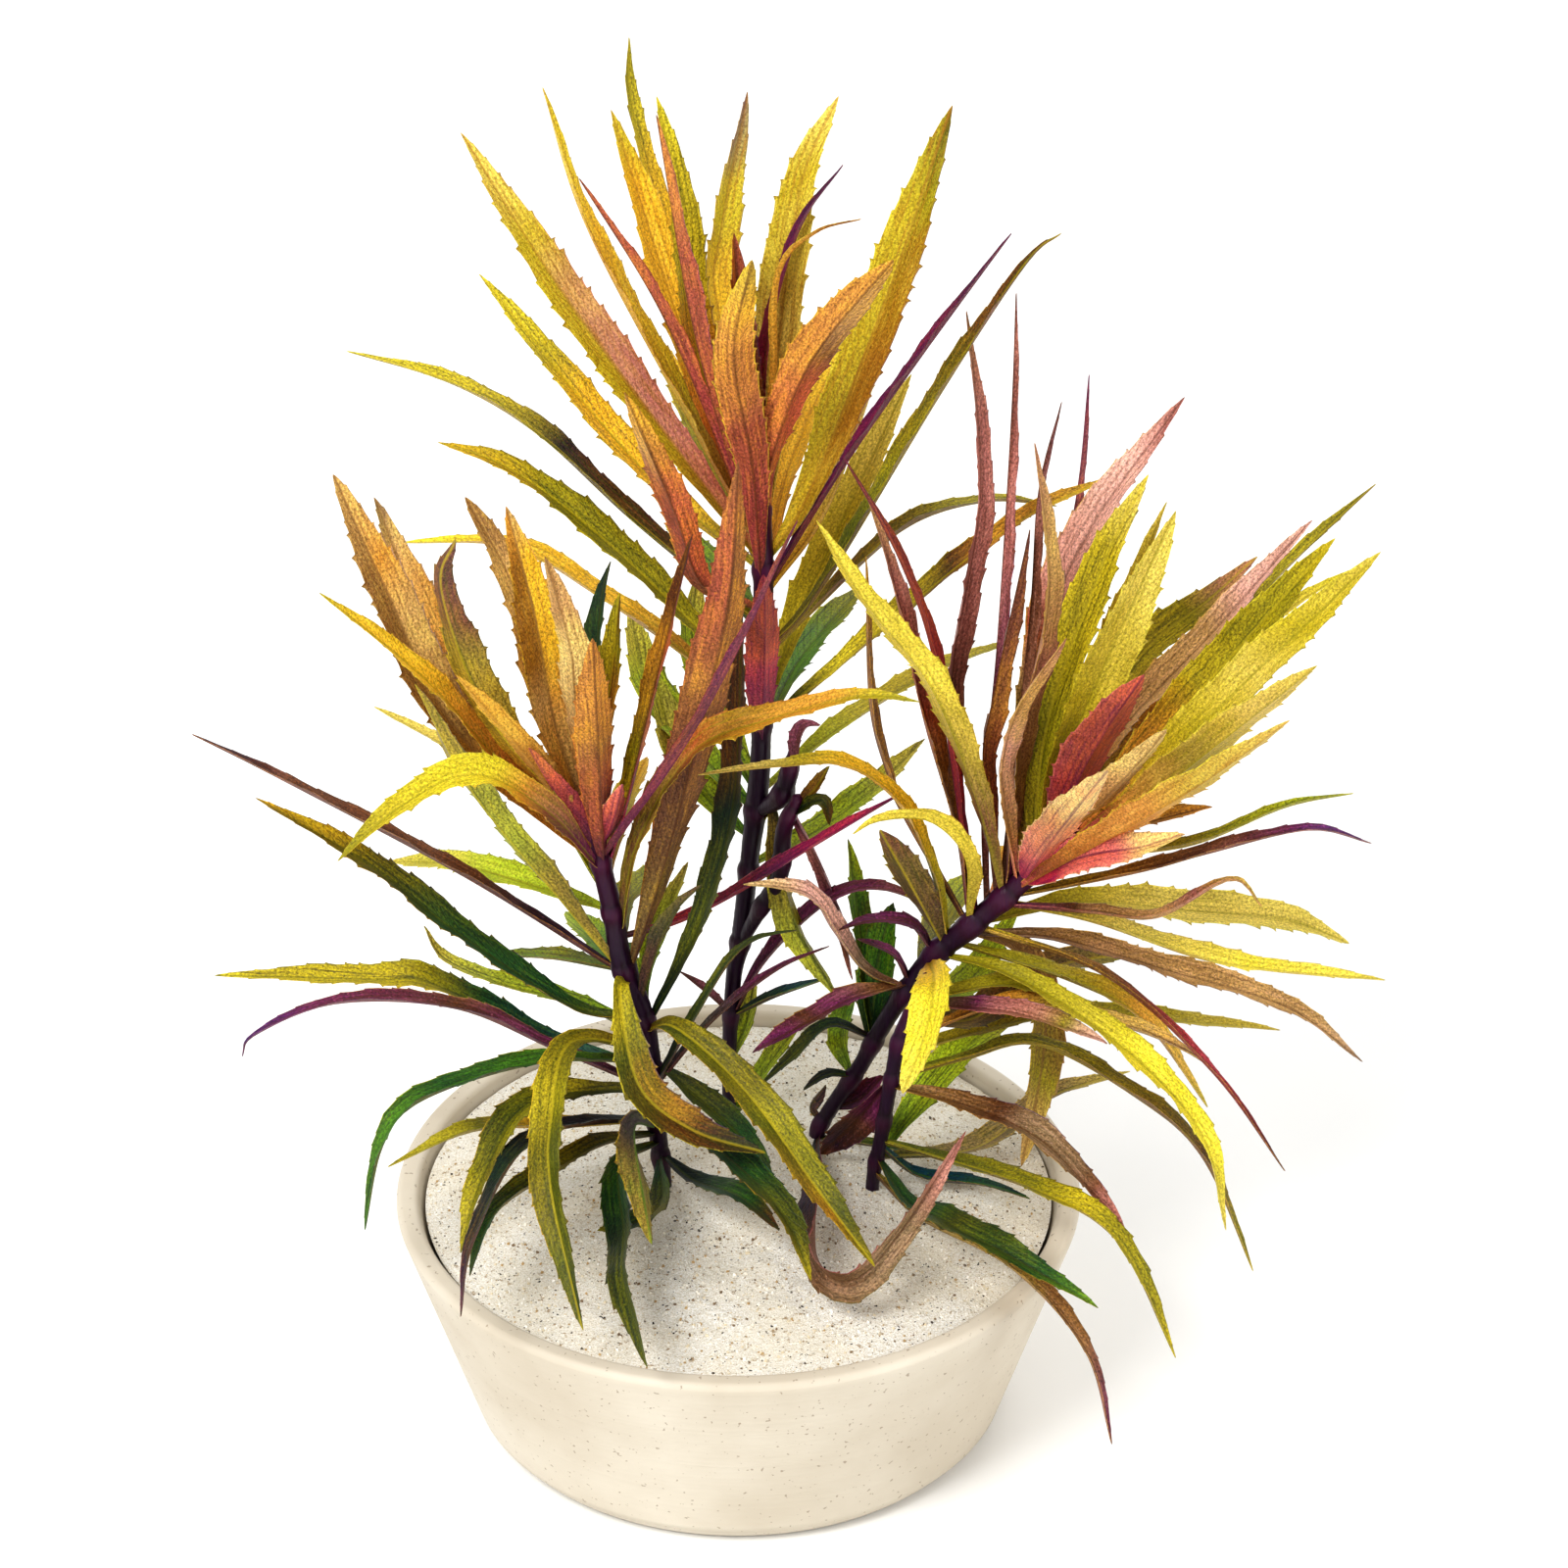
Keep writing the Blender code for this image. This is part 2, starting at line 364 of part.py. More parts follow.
def leaf_course(stem, height, course, back, foot_gap):
    """Return the leaf's places from its foot to its tip, and its outward direction.

    The foot stands foot_gap clear of the stem's surface, on the side the leaf goes to.
    A single back value is the tip's, and the places between share it by their distance.
    """
    axis, along, radius, stem_back = stem_at(stem, height)
    course = np.array(course, float)
    stem_rows = np.array(GROWTH[stem], float)
    foot_seen = np.array((np.interp(height, stem_rows[:, 1], stem_rows[:, 0]), height))
    if isinstance(back, tuple):
        backs = stem_back + np.array(back, float)
    else:
        legs = np.linalg.norm(np.diff(np.vstack((foot_seen, course)), axis=0), axis=1)
        backs = stem_back + back * np.cumsum(legs) / legs.sum()
    places = [seen(a, u, b) for (a, u), b in zip(course, backs)]
    outward = places[0] - axis
    outward = unit(outward - along * outward.dot(along))
    foot = axis + outward * (radius + foot_gap)
    return np.vstack((foot, places)), outward


def leaf_frame(points, outward, share):
    """Return the blade's sideways and face directions at each point of its course.

    Seen from in front, SHARE of the blade's width shows.  Of the two ways to turn the
    blade so, the one nearer to how a leaf grows, flat across its way out, is taken.
    """
    along = unit(np.gradient(points, axis=0))
    sight = np.array((0.0, math.cos(EYE_TILT), -math.sin(EYE_TILT)))
    level = np.array((0.0, 0.0, 1.0))
    out = points[-1] - points[0]
    out = unit(np.array((out[0], out[1], 0.0)) + 1e-6 * outward)
    natural = np.cross(level, out)
    broad = np.cross(along, sight)
    for i in range(1, len(broad)):
        if broad[i].dot(broad[i - 1]) < 0:
            broad[i] = -broad[i]
        broad[i] = broad[i] + 0.25 * broad[i - 1]
    broad = unit(broad - along * (broad * along).sum(axis=1, keepdims=True))
    deep = np.cross(along, broad)
    slant = math.sqrt(max(0.0, 1.0 - share * share))
    choices = [unit(share * broad + way * slant * deep) for way in (1.0, -1.0)]
    fits = [np.abs(choice.dot(natural)).sum() for choice in choices]
    side = choices[int(fits[1] > fits[0])]
    face = np.cross(side, along)
    if face[1].dot(level - 0.8 * outward) < 0:
        side = -side
        face = -face
    return side, face


def blade_width(shares, width):
    """Return the blade's width along its length: a narrow foot, broad past the middle, a point."""
    swell = np.sin(math.pi * np.asarray(shares) ** LEAF_BEND) ** LEAF_FULLNESS
    return LEAF_FOOT_WIDTH * (1.0 - np.asarray(shares)) + (width - 0.5 * LEAF_FOOT_WIDTH) * swell


def blade_solid(points, side, face, widths):
    """Return vertices and faces of a blade: rings of left edge, upper rib, right edge, keel.

    Each side between two rings is split from its margin up to the rib or the keel, so that
    the upper and the lower side run alike and never cross.
    """
    half = widths[:, None] / 2
    rise = face * half * LEAF_CHANNEL * 2
    thick = face * LEAF_THICKNESS / 2 * np.linspace(1.1, 0.6, len(points))[:, None]
    ring = np.stack((points + side * half + rise, points + thick,
                     points - side * half + rise, points - thick), axis=1)
    body = ring[:-1].reshape(-1, 3)
    vertices = np.vstack((body, points[-1:]))
    rings = len(points) - 1
    faces = [(3, 2, 1, 0)]
    for i in range(rings - 1):
        for k in (0, 2):
            edge = 4 * i + k
            rib = edge + 1
            faces += [(edge, rib, rib + 4), (edge, rib + 4, edge + 4)]
            other = 4 * i + (k + 2) % 4
            faces += [(rib, other, rib + 4), (other, other + 4, rib + 4)]
    last = 4 * (rings - 1)
    tip = len(vertices) - 1
    faces += [(last + k, last + (k + 1) % 4, tip) for k in range(4)]
    return vertices * MM, faces


def principled(name, colour, roughness):
    """Return a plain material."""
    material = bpy.data.materials.new(name)
    material.use_nodes = True
    shader = material.node_tree.nodes["Principled BSDF"]
    shader.inputs["Base Color"].default_value = (*COLOURS[colour], 1.0)
    shader.inputs["Roughness"].default_value = roughness
    shader.inputs["Metallic"].default_value = 0.0
    return material


def solid_object(name, vertices, faces, collection):
    """Return a new object with the given mesh, its faces turned outward."""
    mesh = bpy.data.meshes.new(name)
    mesh.from_pydata([tuple(v) for v in vertices], [], faces)
    mesh.update()
    item = bpy.data.objects.new(name, mesh)
    collection.objects.link(item)
    if signed_volume(mesh) < 0:
        mesh.flip_normals()
    return item


def signed_volume(mesh):
    """Return the mesh's volume, negative if its faces point in."""
    total = 0.0
    for polygon in mesh.polygons:
        corners = [mesh.vertices[i].co for i in polygon.vertices]
        for k in range(1, len(corners) - 1):
            total += corners[0].dot(corners[k].cross(corners[k + 1]))
    return total


def leaf_object(name, row, stations, foot_gap, collection):
    """Return one leaf's solid."""
    stem, height, course, back, width, share = row
    places, outward = leaf_course(stem, height, course, back, foot_gap)
    points = smooth_course(places, stations)
    side, face = leaf_frame(points, outward, share)
    vertices, faces = blade_solid(points, side, face, blade_width(stations, width))
    return solid_object(name, vertices, faces, collection)


def turned(name, profile, sides, collection):
    """Return a solid turned round the z axis from a closed outline of (radius, height)."""
    mesh = bpy.data.meshes.new(name)
    count = len(profile)
    mesh.from_pydata([(r * MM, 0.0, z * MM) for r, z in profile],
                     [(i, i + 1) for i in range(count - 1)], [])
    item = bpy.data.objects.new(name, mesh)
    collection.objects.link(item)
    screw = item.modifiers.new("turn", "SCREW")
    screw.axis = "Z"
    screw.steps = sides
    screw.render_steps = sides
    screw.use_merge_vertices = True
    screw.merge_threshold = 0.00002
    screw.use_smooth_shade = True
    return item


def quarter(centre_r, centre_z, radius, start, end, steps):
    """Return points of an arc, its angles in degrees from the outward direction."""
    angles = [math.radians(start + (end - start) * i / steps) for i in range(steps + 1)]
    return [(centre_r + radius * math.cos(a), centre_z + radius * math.sin(a)) for a in angles]


def pot_inner_radius(height):
    """Return the inside radius of the pot's tapered wall at a height."""
    share = height / POT_HEIGHT
    return POT_BASE_RADIUS + (POT_RIM_RADIUS - POT_BASE_RADIUS) * share - POT_WALL


def build_pot(collection):
    """The pot: tapered wall, rounded rim and foot, flat closed base."""
    slope = (POT_RIM_RADIUS - POT_BASE_RADIUS) / POT_HEIGHT
    rim = POT_RIM_ROUND
    foot = POT_FOOT_ROUND
    profile = [(0.0, POT_FLOOR), (pot_inner_radius(POT_FLOOR), POT_FLOOR)]
    profile += [(pot_inner_radius(POT_HEIGHT), POT_HEIGHT - rim)]
    profile += quarter(POT_RIM_RADIUS - POT_WALL + rim, POT_HEIGHT - rim, rim, 135, 90, 1)
    profile += quarter(POT_RIM_RADIUS - rim, POT_HEIGHT - rim, rim, 90, 0, 2)
    profile += [(POT_BASE_RADIUS + slope * foot, foot)]
    profile += quarter(POT_BASE_RADIUS - foot, foot, foot, -30, -90, 1)
    profile += [(0.0, 0.0)]
    return turned("pot", profile, POT_SIDES, collection)


def build_sand(collection):
    """The sand: it fills the pot to a low crown."""
    low = POT_FLOOR + FITTING_GAP
    edge = pot_inner_radius(SAND_EDGE) - FITTING_GAP * 1.5
    profile = []
    for share in (0.0, 0.35, 0.7, 0.9, 1.0):
        height = SAND_EDGE + (SAND_CROWN - SAND_EDGE) * math.cos(share * math.pi / 2)
        profile.append((edge * share, height))
    profile += [(pot_inner_radius(low) - FITTING_GAP * 1.5, low), (0.0, low)]
    return turned("sand", profile, SAND_SIDES, collection)


def stem_path(stem):
    """Return the axis points of a stem or side shoot with their radii, its foot first."""
    rows = np.array(GROWTH[stem], float)
    places = np.array([seen(a, u, b) for a, u, b, _ in rows])
    radii = rows[:, 3]
    if stem in STEMS:
        buried = places[0] - np.array((0.0, 0.0, STEM_BURIED))
        places = np.vstack((buried, places))
        radii = np.concatenate((radii[:1], radii))
    shares = np.linspace(0.0, 1.0, STEM_STEPS * (len(places) - 1) + 1)
    run = np.concatenate(((0.0,), np.cumsum(np.linalg.norm(np.diff(places, axis=0), axis=1))))
    points = smooth_course(places, shares)
    return points, np.interp(shares * run[-1], run, radii)


def stem_tube(name, points, radii, collection):
    """Return a tube along the points as a mesh: a bevelled curve with closed ends."""
    curve = bpy.data.curves.new(name, "CURVE")
    curve.dimensions = "3D"
    curve.bevel_depth = 1.0 * MM
    curve.bevel_resolution = 1
    curve.use_fill_caps = True
    spline = curve.splines.new("POLY")
    spline.points.add(len(points) - 1)
    for point, place, radius in zip(spline.points, points, radii):
        point.co = (*(place * MM), 1.0)
        point.radius = radius
    guide = bpy.data.objects.new(name + "_curve", curve)
    collection.objects.link(guide)
    return curve_to_mesh(guide, name, collection)


def curve_to_mesh(guide, name, collection):
    """Replace a curve object by a mesh object of the same shape, its caps joined on."""
    depsgraph = bpy.context.evaluated_depsgraph_get()
    mesh = bpy.data.meshes.new_from_object(guide.evaluated_get(depsgraph))
    shape = bmesh.new()
    shape.from_mesh(mesh)
    bmesh.ops.remove_doubles(shape, verts=shape.verts, dist=0.00001)
    bmesh.ops.recalc_face_normals(shape, faces=shape.faces)
    shape.to_mesh(mesh)
    shape.free()
    item = bpy.data.objects.new(name, mesh)
    item.matrix_world = guide.matrix_world
    collection.objects.link(item)
    bpy.data.objects.remove(guide)
    return item


def join_solids(body, others):
    """Grow each of the other solids onto the body, and remove the others."""
    for other in others:
        union = body.modifiers.new(other.name, "BOOLEAN")
        union.operation = "UNION"
        union.solver = "EXACT"
        union.object = other
        depsgraph = bpy.context.evaluated_depsgraph_get()
        joined = bpy.data.meshes.new_from_object(body.evaluated_get(depsgraph))
        body.modifiers.clear()
        body.data = joined
        bpy.data.objects.remove(other)


def stations_of(row, long_course, most, fewer):
    """Return where a leaf has its rings: fewer on one with a short simple course."""
    return most if len(row[2]) >= long_course else fewer


def build_stem(stem, collection):
    """One stem with its side shoots and the small and crowded leaves that stay grown to it."""
    body = stem_tube(stem + "_stem", *stem_path(stem), collection)
    shoots = [name for name in SIDE_SHOOTS if name.startswith(stem)]
    grown = [stem_tube(name, *stem_path(name), collection) for name in shoots]
    rows = [row for row in SHOOT_LEAVES if row[0] == stem or row[0] in shoots]
    for i, row in enumerate(rows):
        stations = stations_of(row, 3, SHORT_STATIONS, BRIEF_STATIONS)
        grown.append(leaf_object(f"{stem}_shoot_{i:02d}", row, stations, -LEAF_FOOT_BURIED,
                                 collection))
    join_solids(body, grown)
    body.data.materials.clear()
    body.data.materials.append(principled(stem + "_stem", "stem", 0.45))
    return body


def cut_sockets(sand, cutters):
    """Cut a socket in the sand round each stem's buried foot."""
    for stem in STEMS:
        points, radii = stem_path(stem)
        foot = points[0]
        radius = (radii[0] + SOCKET_ROOM) * MM
        depth = STEM_BURIED + FITTING_GAP
        bpy.ops.mesh.primitive_cylinder_add(
            vertices=SOCKET_SIDES, radius=radius, depth=2 * depth * MM,
            location=(foot[0] * MM, foot[1] * MM, (foot[2] - FITTING_GAP + depth) * MM))
        cutter = bpy.context.object
        cutter.name = stem + "_socket"
        cutter.hide_render = True
        cutter.display_type = "WIRE"
        for owner in cutter.users_collection:
            owner.objects.unlink(cutter)
        cutters.objects.link(cutter)
        cut = sand.modifiers.new(cutter.name, "BOOLEAN")
        cut.operation = "DIFFERENCE"
        cut.solver = "EXACT"
        cut.object = cutter


def build():
    """Build the whole potted plant."""
    for item in list(bpy.data.objects):
        bpy.data.objects.remove(item)
    plant = bpy.data.collections.new("potted_broad_leaf_pogostemon_stellatus")
    cutters = bpy.data.collections.new("cutters")
    bpy.context.scene.collection.children.link(plant)
    bpy.context.scene.collection.children.link(cutters)
    pot = build_pot(plant)
    pot.data.materials.append(principled("pot", "pot", 0.6))
    sand = build_sand(plant)
    sand.data.materials.append(principled("sand", "sand", 0.9))
    cut_sockets(sand, cutters)
    for stem in STEMS:
        build_stem(stem, plant)
    for name, *row, colour in LEAVES:
        stations = stations_of(row, 4, LEAF_STATIONS, PLAIN_STATIONS)
        leaf = leaf_object(name, tuple(row), stations, LEAF_FOOT_GAP, plant)
        leaf.data.materials.append(principled(name, colour, 0.45))


build()
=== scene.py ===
"""Broad leaf pogostemon stellatus standing in pale sand in a plain round pot.

The pot is turned first, then it is filled with sand, the four stems are set in the sand,
and the leaves are grown onto the stems from the tallest stem to the lowest.  Lengths are
in millimetres until a mesh is made.
"""

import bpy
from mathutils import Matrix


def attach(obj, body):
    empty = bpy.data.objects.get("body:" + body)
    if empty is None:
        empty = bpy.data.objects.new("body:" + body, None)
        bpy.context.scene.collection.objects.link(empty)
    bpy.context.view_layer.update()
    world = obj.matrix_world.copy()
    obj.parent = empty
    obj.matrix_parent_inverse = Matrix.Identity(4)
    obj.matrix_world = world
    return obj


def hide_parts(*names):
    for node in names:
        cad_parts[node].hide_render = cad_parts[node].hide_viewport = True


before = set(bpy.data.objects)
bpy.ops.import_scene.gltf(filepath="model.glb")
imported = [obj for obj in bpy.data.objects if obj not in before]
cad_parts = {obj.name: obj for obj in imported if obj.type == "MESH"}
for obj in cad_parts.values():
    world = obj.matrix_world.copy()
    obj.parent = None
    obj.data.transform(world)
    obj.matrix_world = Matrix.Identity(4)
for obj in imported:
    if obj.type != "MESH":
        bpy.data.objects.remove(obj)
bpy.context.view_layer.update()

import math

import bpy
import numpy as np

# The eye and the studio: the plant is looked at from in front and thirty degrees above,
# on a plain pale floor, under a large soft lamp at the upper left and two weaker ones.
MM = 0.001
SAND_CROWN = 56.0
EYE_TILT = math.radians(30.0)
EYE_DISTANCE = 1200.0
EYE_AIM_ACROSS = 10.0
EYE_AIM_UP = 86.0
PICTURE_WIDTH = 344.0
FILM_WIDTH = 36.0
FLOOR_REACH = 20.0
FLOOR_TONE = (0.90, 0.90, 0.89, 1.0)
SKY_TONE = (1.0, 1.0, 1.0, 1.0)
SKY_STRENGTH = 0.70
LAMP_AIM = (0.0, 0.0, 0.15)
# Place and width of each lamp in metres, and its power in watts
LAMPS = {
    "key_lamp": ((-0.75, -1.05, 1.45), 0.7, 23.0),
    "side_lamp": ((1.3, -0.7, 0.8), 0.8, 5.0),
    "back_lamp": ((0.5, 1.2, 1.3), 0.8, 6.0),
}
RIGHTWARD = np.array((1.0, 0.0, 0.0))
UPWARD = np.array((0.0, math.sin(EYE_TILT), math.cos(EYE_TILT)))
INWARD = np.array((0.0, math.cos(EYE_TILT), -math.sin(EYE_TILT)))
CROWN = np.array((0.0, 0.0, SAND_CROWN))
EYE = CROWN + RIGHTWARD * EYE_AIM_ACROSS + UPWARD * EYE_AIM_UP - INWARD * EYE_DISTANCE


def new_object(name, data):
    """Put a new object into the scene."""
    item = bpy.data.objects.new(name, data)
    bpy.context.scene.collection.objects.link(item)
    return item


def linear(red, green, blue):
    """A colour given in steps of 255, as light: each share is raised to about 2.2."""
    share = np.array((red, green, blue)) / 255.0
    low = share / 12.92
    high = ((share + 0.055) / 1.055) ** 2.4
    return np.where(share > 0.04045, high, low)


def material_of(name, roughness, specular):
    """A new material, its node tree, and its Principled shader."""
    material = bpy.data.materials.new(name)
    material.use_nodes = True
    shader = material.node_tree.nodes["Principled BSDF"]
    shader.inputs["Roughness"].default_value = roughness
    shader.inputs["Specular IOR Level"].default_value = specular
    return material, material.node_tree, shader


def soft_lamp(name, place, width, power):
    """A square lamp at a place in metres that faces LAMP_AIM."""
    lamp = bpy.data.lights.new(name, "AREA")
    lamp.shape = "SQUARE"
    lamp.size = width
    lamp.energy = power
    item = new_object(name, lamp)
    item.location = place
    away = np.array(place) - np.array(LAMP_AIM)
    level = math.hypot(away[0], away[1])
    item.rotation_euler = (math.atan2(level, away[2]), 0.0, math.atan2(away[0], -away[1]))


camera_data = bpy.data.cameras.new("camera")
camera_data.sensor_width = FILM_WIDTH
camera_data.lens = FILM_WIDTH * EYE_DISTANCE / PICTURE_WIDTH
camera = new_object("camera", camera_data)
camera.location = EYE * MM
camera.rotation_euler = (math.pi / 2 - EYE_TILT, 0.0, 0.0)
bpy.context.scene.camera = camera
bpy.context.scene.view_settings.view_transform = "Standard"
bpy.context.scene.view_settings.look = "Medium High Contrast"

sky = bpy.data.worlds.new("studio")
sky.use_nodes = True
sky.node_tree.nodes["Background"].inputs["Color"].default_value = SKY_TONE
sky.node_tree.nodes["Background"].inputs["Strength"].default_value = SKY_STRENGTH
bpy.context.scene.world = sky
for name, lamp_values in LAMPS.items():
    soft_lamp(name, *lamp_values)

floor_mesh = bpy.data.meshes.new("floor")
floor_mesh.from_pydata([(-FLOOR_REACH, -FLOOR_REACH, 0), (FLOOR_REACH, -FLOOR_REACH, 0),
                        (FLOOR_REACH, FLOOR_REACH, 0), (-FLOOR_REACH, FLOOR_REACH, 0)],
                       [], [(0, 1, 2, 3)])
floor = new_object("floor", floor_mesh)
floor_paint, _, floor_shader = material_of("floor_paint", 0.8, 0.2)
floor_shader.inputs["Base Color"].default_value = FLOOR_TONE
floor_mesh.materials.append(floor_paint)

# The pot: a plain bowl of off-white stoneware, turned on a wheel, with a rounded lip and a
# closed flat foot.  Its matt bare clay keeps faint rings of the turning and a few specks.
POT_RIM_RADIUS = 75.0
POT_BASE_RADIUS = 58.0
POT_HEIGHT = 54.0
POT_WALL = 5.0
POT_FLOOR = 6.0
POT_LIP_ROUND = 1.6
POT_FOOT_ROUND = 4.0
POT_SIDES = 192
WHOLE_TURN = 2 * math.pi
CLAY_TONE = linear(214, 205, 188)
CLAY_CLOUD = linear(198, 187, 168)
CLAY_SPECK = linear(120, 98, 74)


def arc(centre_r, centre_z, radius, start, end, steps):
    """Points of an arc round a centre, from one angle to another in degrees."""
    angles = np.radians(np.linspace(start, end, steps + 1))
    return np.stack((centre_r + radius * np.cos(angles),
                     centre_z + radius * np.sin(angles)), axis=1)


def line(start, end, steps):
    """Points between two places, both ends left out."""
    shares = np.linspace(0.0, 1.0, steps + 2)[1:-1, None]
    return np.array(start) * (1 - shares) + np.array(end) * shares


def pot_inner_radius(height):
    """The inside radius of the tapered wall: the outside radius there less the wall."""
    share = height / POT_HEIGHT
    return POT_BASE_RADIUS + (POT_RIM_RADIUS - POT_BASE_RADIUS) * share - POT_WALL


def ring_faces(rings, sides):
    """Quads between rings of SIDES places each, and fans that close the first and the last.

    The places go ring by ring, and after them come the middle of the first ring and that
    of the last.  The faces look outward where the rings turn anticlockwise, seen from the
    last ring's end.
    """
    column = np.arange(sides)
    beside = (column + 1) % sides
    start = np.arange(rings - 1)[:, None] * sides
    quads = np.stack((start + column, start + beside, start + sides + beside,
                      start + sides + column), axis=2).reshape(-1, 4)
    last = (rings - 1) * sides
    middle = np.full(sides, rings * sides)
    fans = np.vstack((np.stack((middle, beside, column), axis=1),
                      np.stack((middle + 1, last + column, last + beside), axis=1)))
    return quads, fans


def turned(profile, sides):
    """Places and faces of a profile of (radius, height) carried once round the z axis.

    A point's place is radius times (cos, sin) of the turn.  The profile's first and last
    points lie on the axis, where each ring closes to one vertex.
    """
    turn = np.arange(sides) * WHOLE_TURN / sides
    body = profile[1:-1]
    rings = np.stack((body[:, :1] * np.cos(turn), body[:, :1] * np.sin(turn),
                      np.repeat(body[:, 1:], sides, axis=1)), axis=2)
    ends = np.array(((0, 0, profile[0, 1]), (0, 0, profile[-1, 1])))
    return np.vstack((rings.reshape(-1, 3), ends)), *ring_faces(len(body), sides)


def mesh_piece(name, places, quads, fans, sharp=180.0, colours=None, map_places=None):
    """A piece from arrays of places in millimetres, quads and triangles.

    Edges that turn by more than SHARP degrees stay sharp.  COLOURS gives each vertex its
    tint, and MAP_PLACES its place on the blade's map.
    """
    mesh = bpy.data.meshes.new(name)
    mesh.vertices.add(len(places))
    mesh.vertices.foreach_set("co", (places * MM).astype(np.float32).ravel())
    corners = np.concatenate((quads.ravel(), fans.ravel())).astype(np.int32)
    starts = np.concatenate((np.arange(len(quads)) * 4,
                             len(quads) * 4 + np.arange(len(fans)) * 3)).astype(np.int32)
    mesh.loops.add(len(corners))
    mesh.loops.foreach_set("vertex_index", corners)
    mesh.polygons.add(len(starts))
    mesh.polygons.foreach_set("loop_start", starts)
    mesh.update(calc_edges=True)
    if colours is not None:
        tint = mesh.attributes.new("tint", "FLOAT_COLOR", "POINT")
        full = np.ones((len(places), 1))
        tint.data.foreach_set("color", np.hstack((colours, full)).astype(np.float32).ravel())
    if map_places is not None:
        layer = mesh.uv_layers.new(name="blade")
        layer.uv.foreach_set("vector", map_places[corners].astype(np.float32).ravel())
    mesh.shade_smooth()
    if sharp < 180.0:
        mesh.set_sharp_from_angle(angle=math.radians(sharp))
    mesh.validate()
    return new_object(name, mesh)


slope = (POT_RIM_RADIUS - POT_BASE_RADIUS) / POT_HEIGHT
lip_height = POT_HEIGHT - POT_LIP_ROUND
inner_low = (pot_inner_radius(POT_FLOOR), POT_FLOOR)
inner_high = (pot_inner_radius(POT_HEIGHT), lip_height)
outer_high = (POT_RIM_RADIUS, lip_height)
outer_low = (POT_BASE_RADIUS + slope * POT_FOOT_ROUND, POT_FOOT_ROUND)
pot_profile = np.vstack((
    [(0.0, POT_FLOOR)], line((0.0, POT_FLOOR), inner_low, 6), [inner_low],
    line(inner_low, inner_high, 20), [inner_high],
    arc(POT_RIM_RADIUS - POT_WALL + POT_LIP_ROUND, lip_height, POT_LIP_ROUND, 165, 90, 6),
    arc(POT_RIM_RADIUS - POT_LIP_ROUND, lip_height, POT_LIP_ROUND, 90, 0, 8),
    line(outer_high, outer_low, 44), [outer_low],
    arc(POT_BASE_RADIUS - POT_FOOT_ROUND, POT_FOOT_ROUND, POT_FOOT_ROUND, -8, -90, 8),
    line((POT_BASE_RADIUS - POT_FOOT_ROUND, 0.0), (0.0, 0.0), 6), [(0.0, 0.0)]))
pot = mesh_piece("stoneware_pot", *turned(pot_profile[::-1], POT_SIDES), sharp=50.0)


def object_places(tree):
    """The piece's own coordinates, in metres."""
    return tree.nodes.new("ShaderNodeTexCoord").outputs["Object"]


def noise(tree, vector, scale, detail=3.0, roughness=0.5):
    """A noise pattern over coordinates, from 0 to 1.

    Where SCALE has three numbers, each axis is first stretched by its own.
    """
    if isinstance(scale, tuple):
        mapping = tree.nodes.new("ShaderNodeMapping")
        mapping.inputs["Scale"].default_value = scale
        tree.links.new(vector, mapping.inputs["Vector"])
        vector, scale = mapping.outputs["Vector"], 1.0
    node = tree.nodes.new("ShaderNodeTexNoise")
    node.inputs["Scale"].default_value = scale
    node.inputs["Detail"].default_value = detail
    node.inputs["Roughness"].default_value = roughness
    tree.links.new(vector, node.inputs["Vector"])
    return node.outputs["Fac"]


def between(tree, value, low, high, to_low=0.0, to_high=1.0):
    """The value's place between two limits, as a share or between two other numbers."""
    node = tree.nodes.new("ShaderNodeMapRange")
    for socket, number in zip(("From Min", "From Max", "To Min", "To Max"),
                              (low, high, to_low, to_high)):
        node.inputs[socket].default_value = number
    tree.links.new(value, node.inputs["Value"])
    return node.outputs["Result"]


def reckon(tree, operation, first, second=None):
    """One step of arithmetic on sockets or numbers."""
    node = tree.nodes.new("ShaderNodeMath")
    node.operation = operation
    for socket, given in zip(node.inputs, (first, second)):
        if isinstance(given, (int, float)):
            socket.default_value = given
        elif given is not None:
            tree.links.new(given, socket)
    return node.outputs[0]


def times(tree, first, second):
    """The product of two sockets or numbers."""
    return reckon(tree, "MULTIPLY", first, second)


def plus(tree, first, second):
    """The sum of two sockets or numbers."""
    return reckon(tree, "ADD", first, second)


def mixed(tree, share, first, second, way="MIX"):
    """Two colours mixed; each is a socket or three shares of light."""
    node = tree.nodes.new("ShaderNodeMix")
    node.data_type = "RGBA"
    node.blend_type = way
    sockets = (node.inputs[0], node.inputs[6], node.inputs[7])
    for socket, given in zip(sockets, (share, first, second)):
        if isinstance(given, (int, float)):
            socket.default_value = given
        elif isinstance(given, (tuple, np.ndarray)):
            socket.default_value = (*given, 1.0)
        else:
            tree.links.new(given, socket)
    return node.outputs[2]


def raised(tree, height, shader, strength, distance):
    """Lead a height into the shader's normal through a Bump node."""
    node = tree.nodes.new("ShaderNodeBump")
    node.inputs["Strength"].default_value = strength
    node.inputs["Distance"].default_value = distance
    tree.links.new(height, node.inputs["Height"])
    tree.links.new(node.outputs["Normal"], shader.inputs["Normal"])


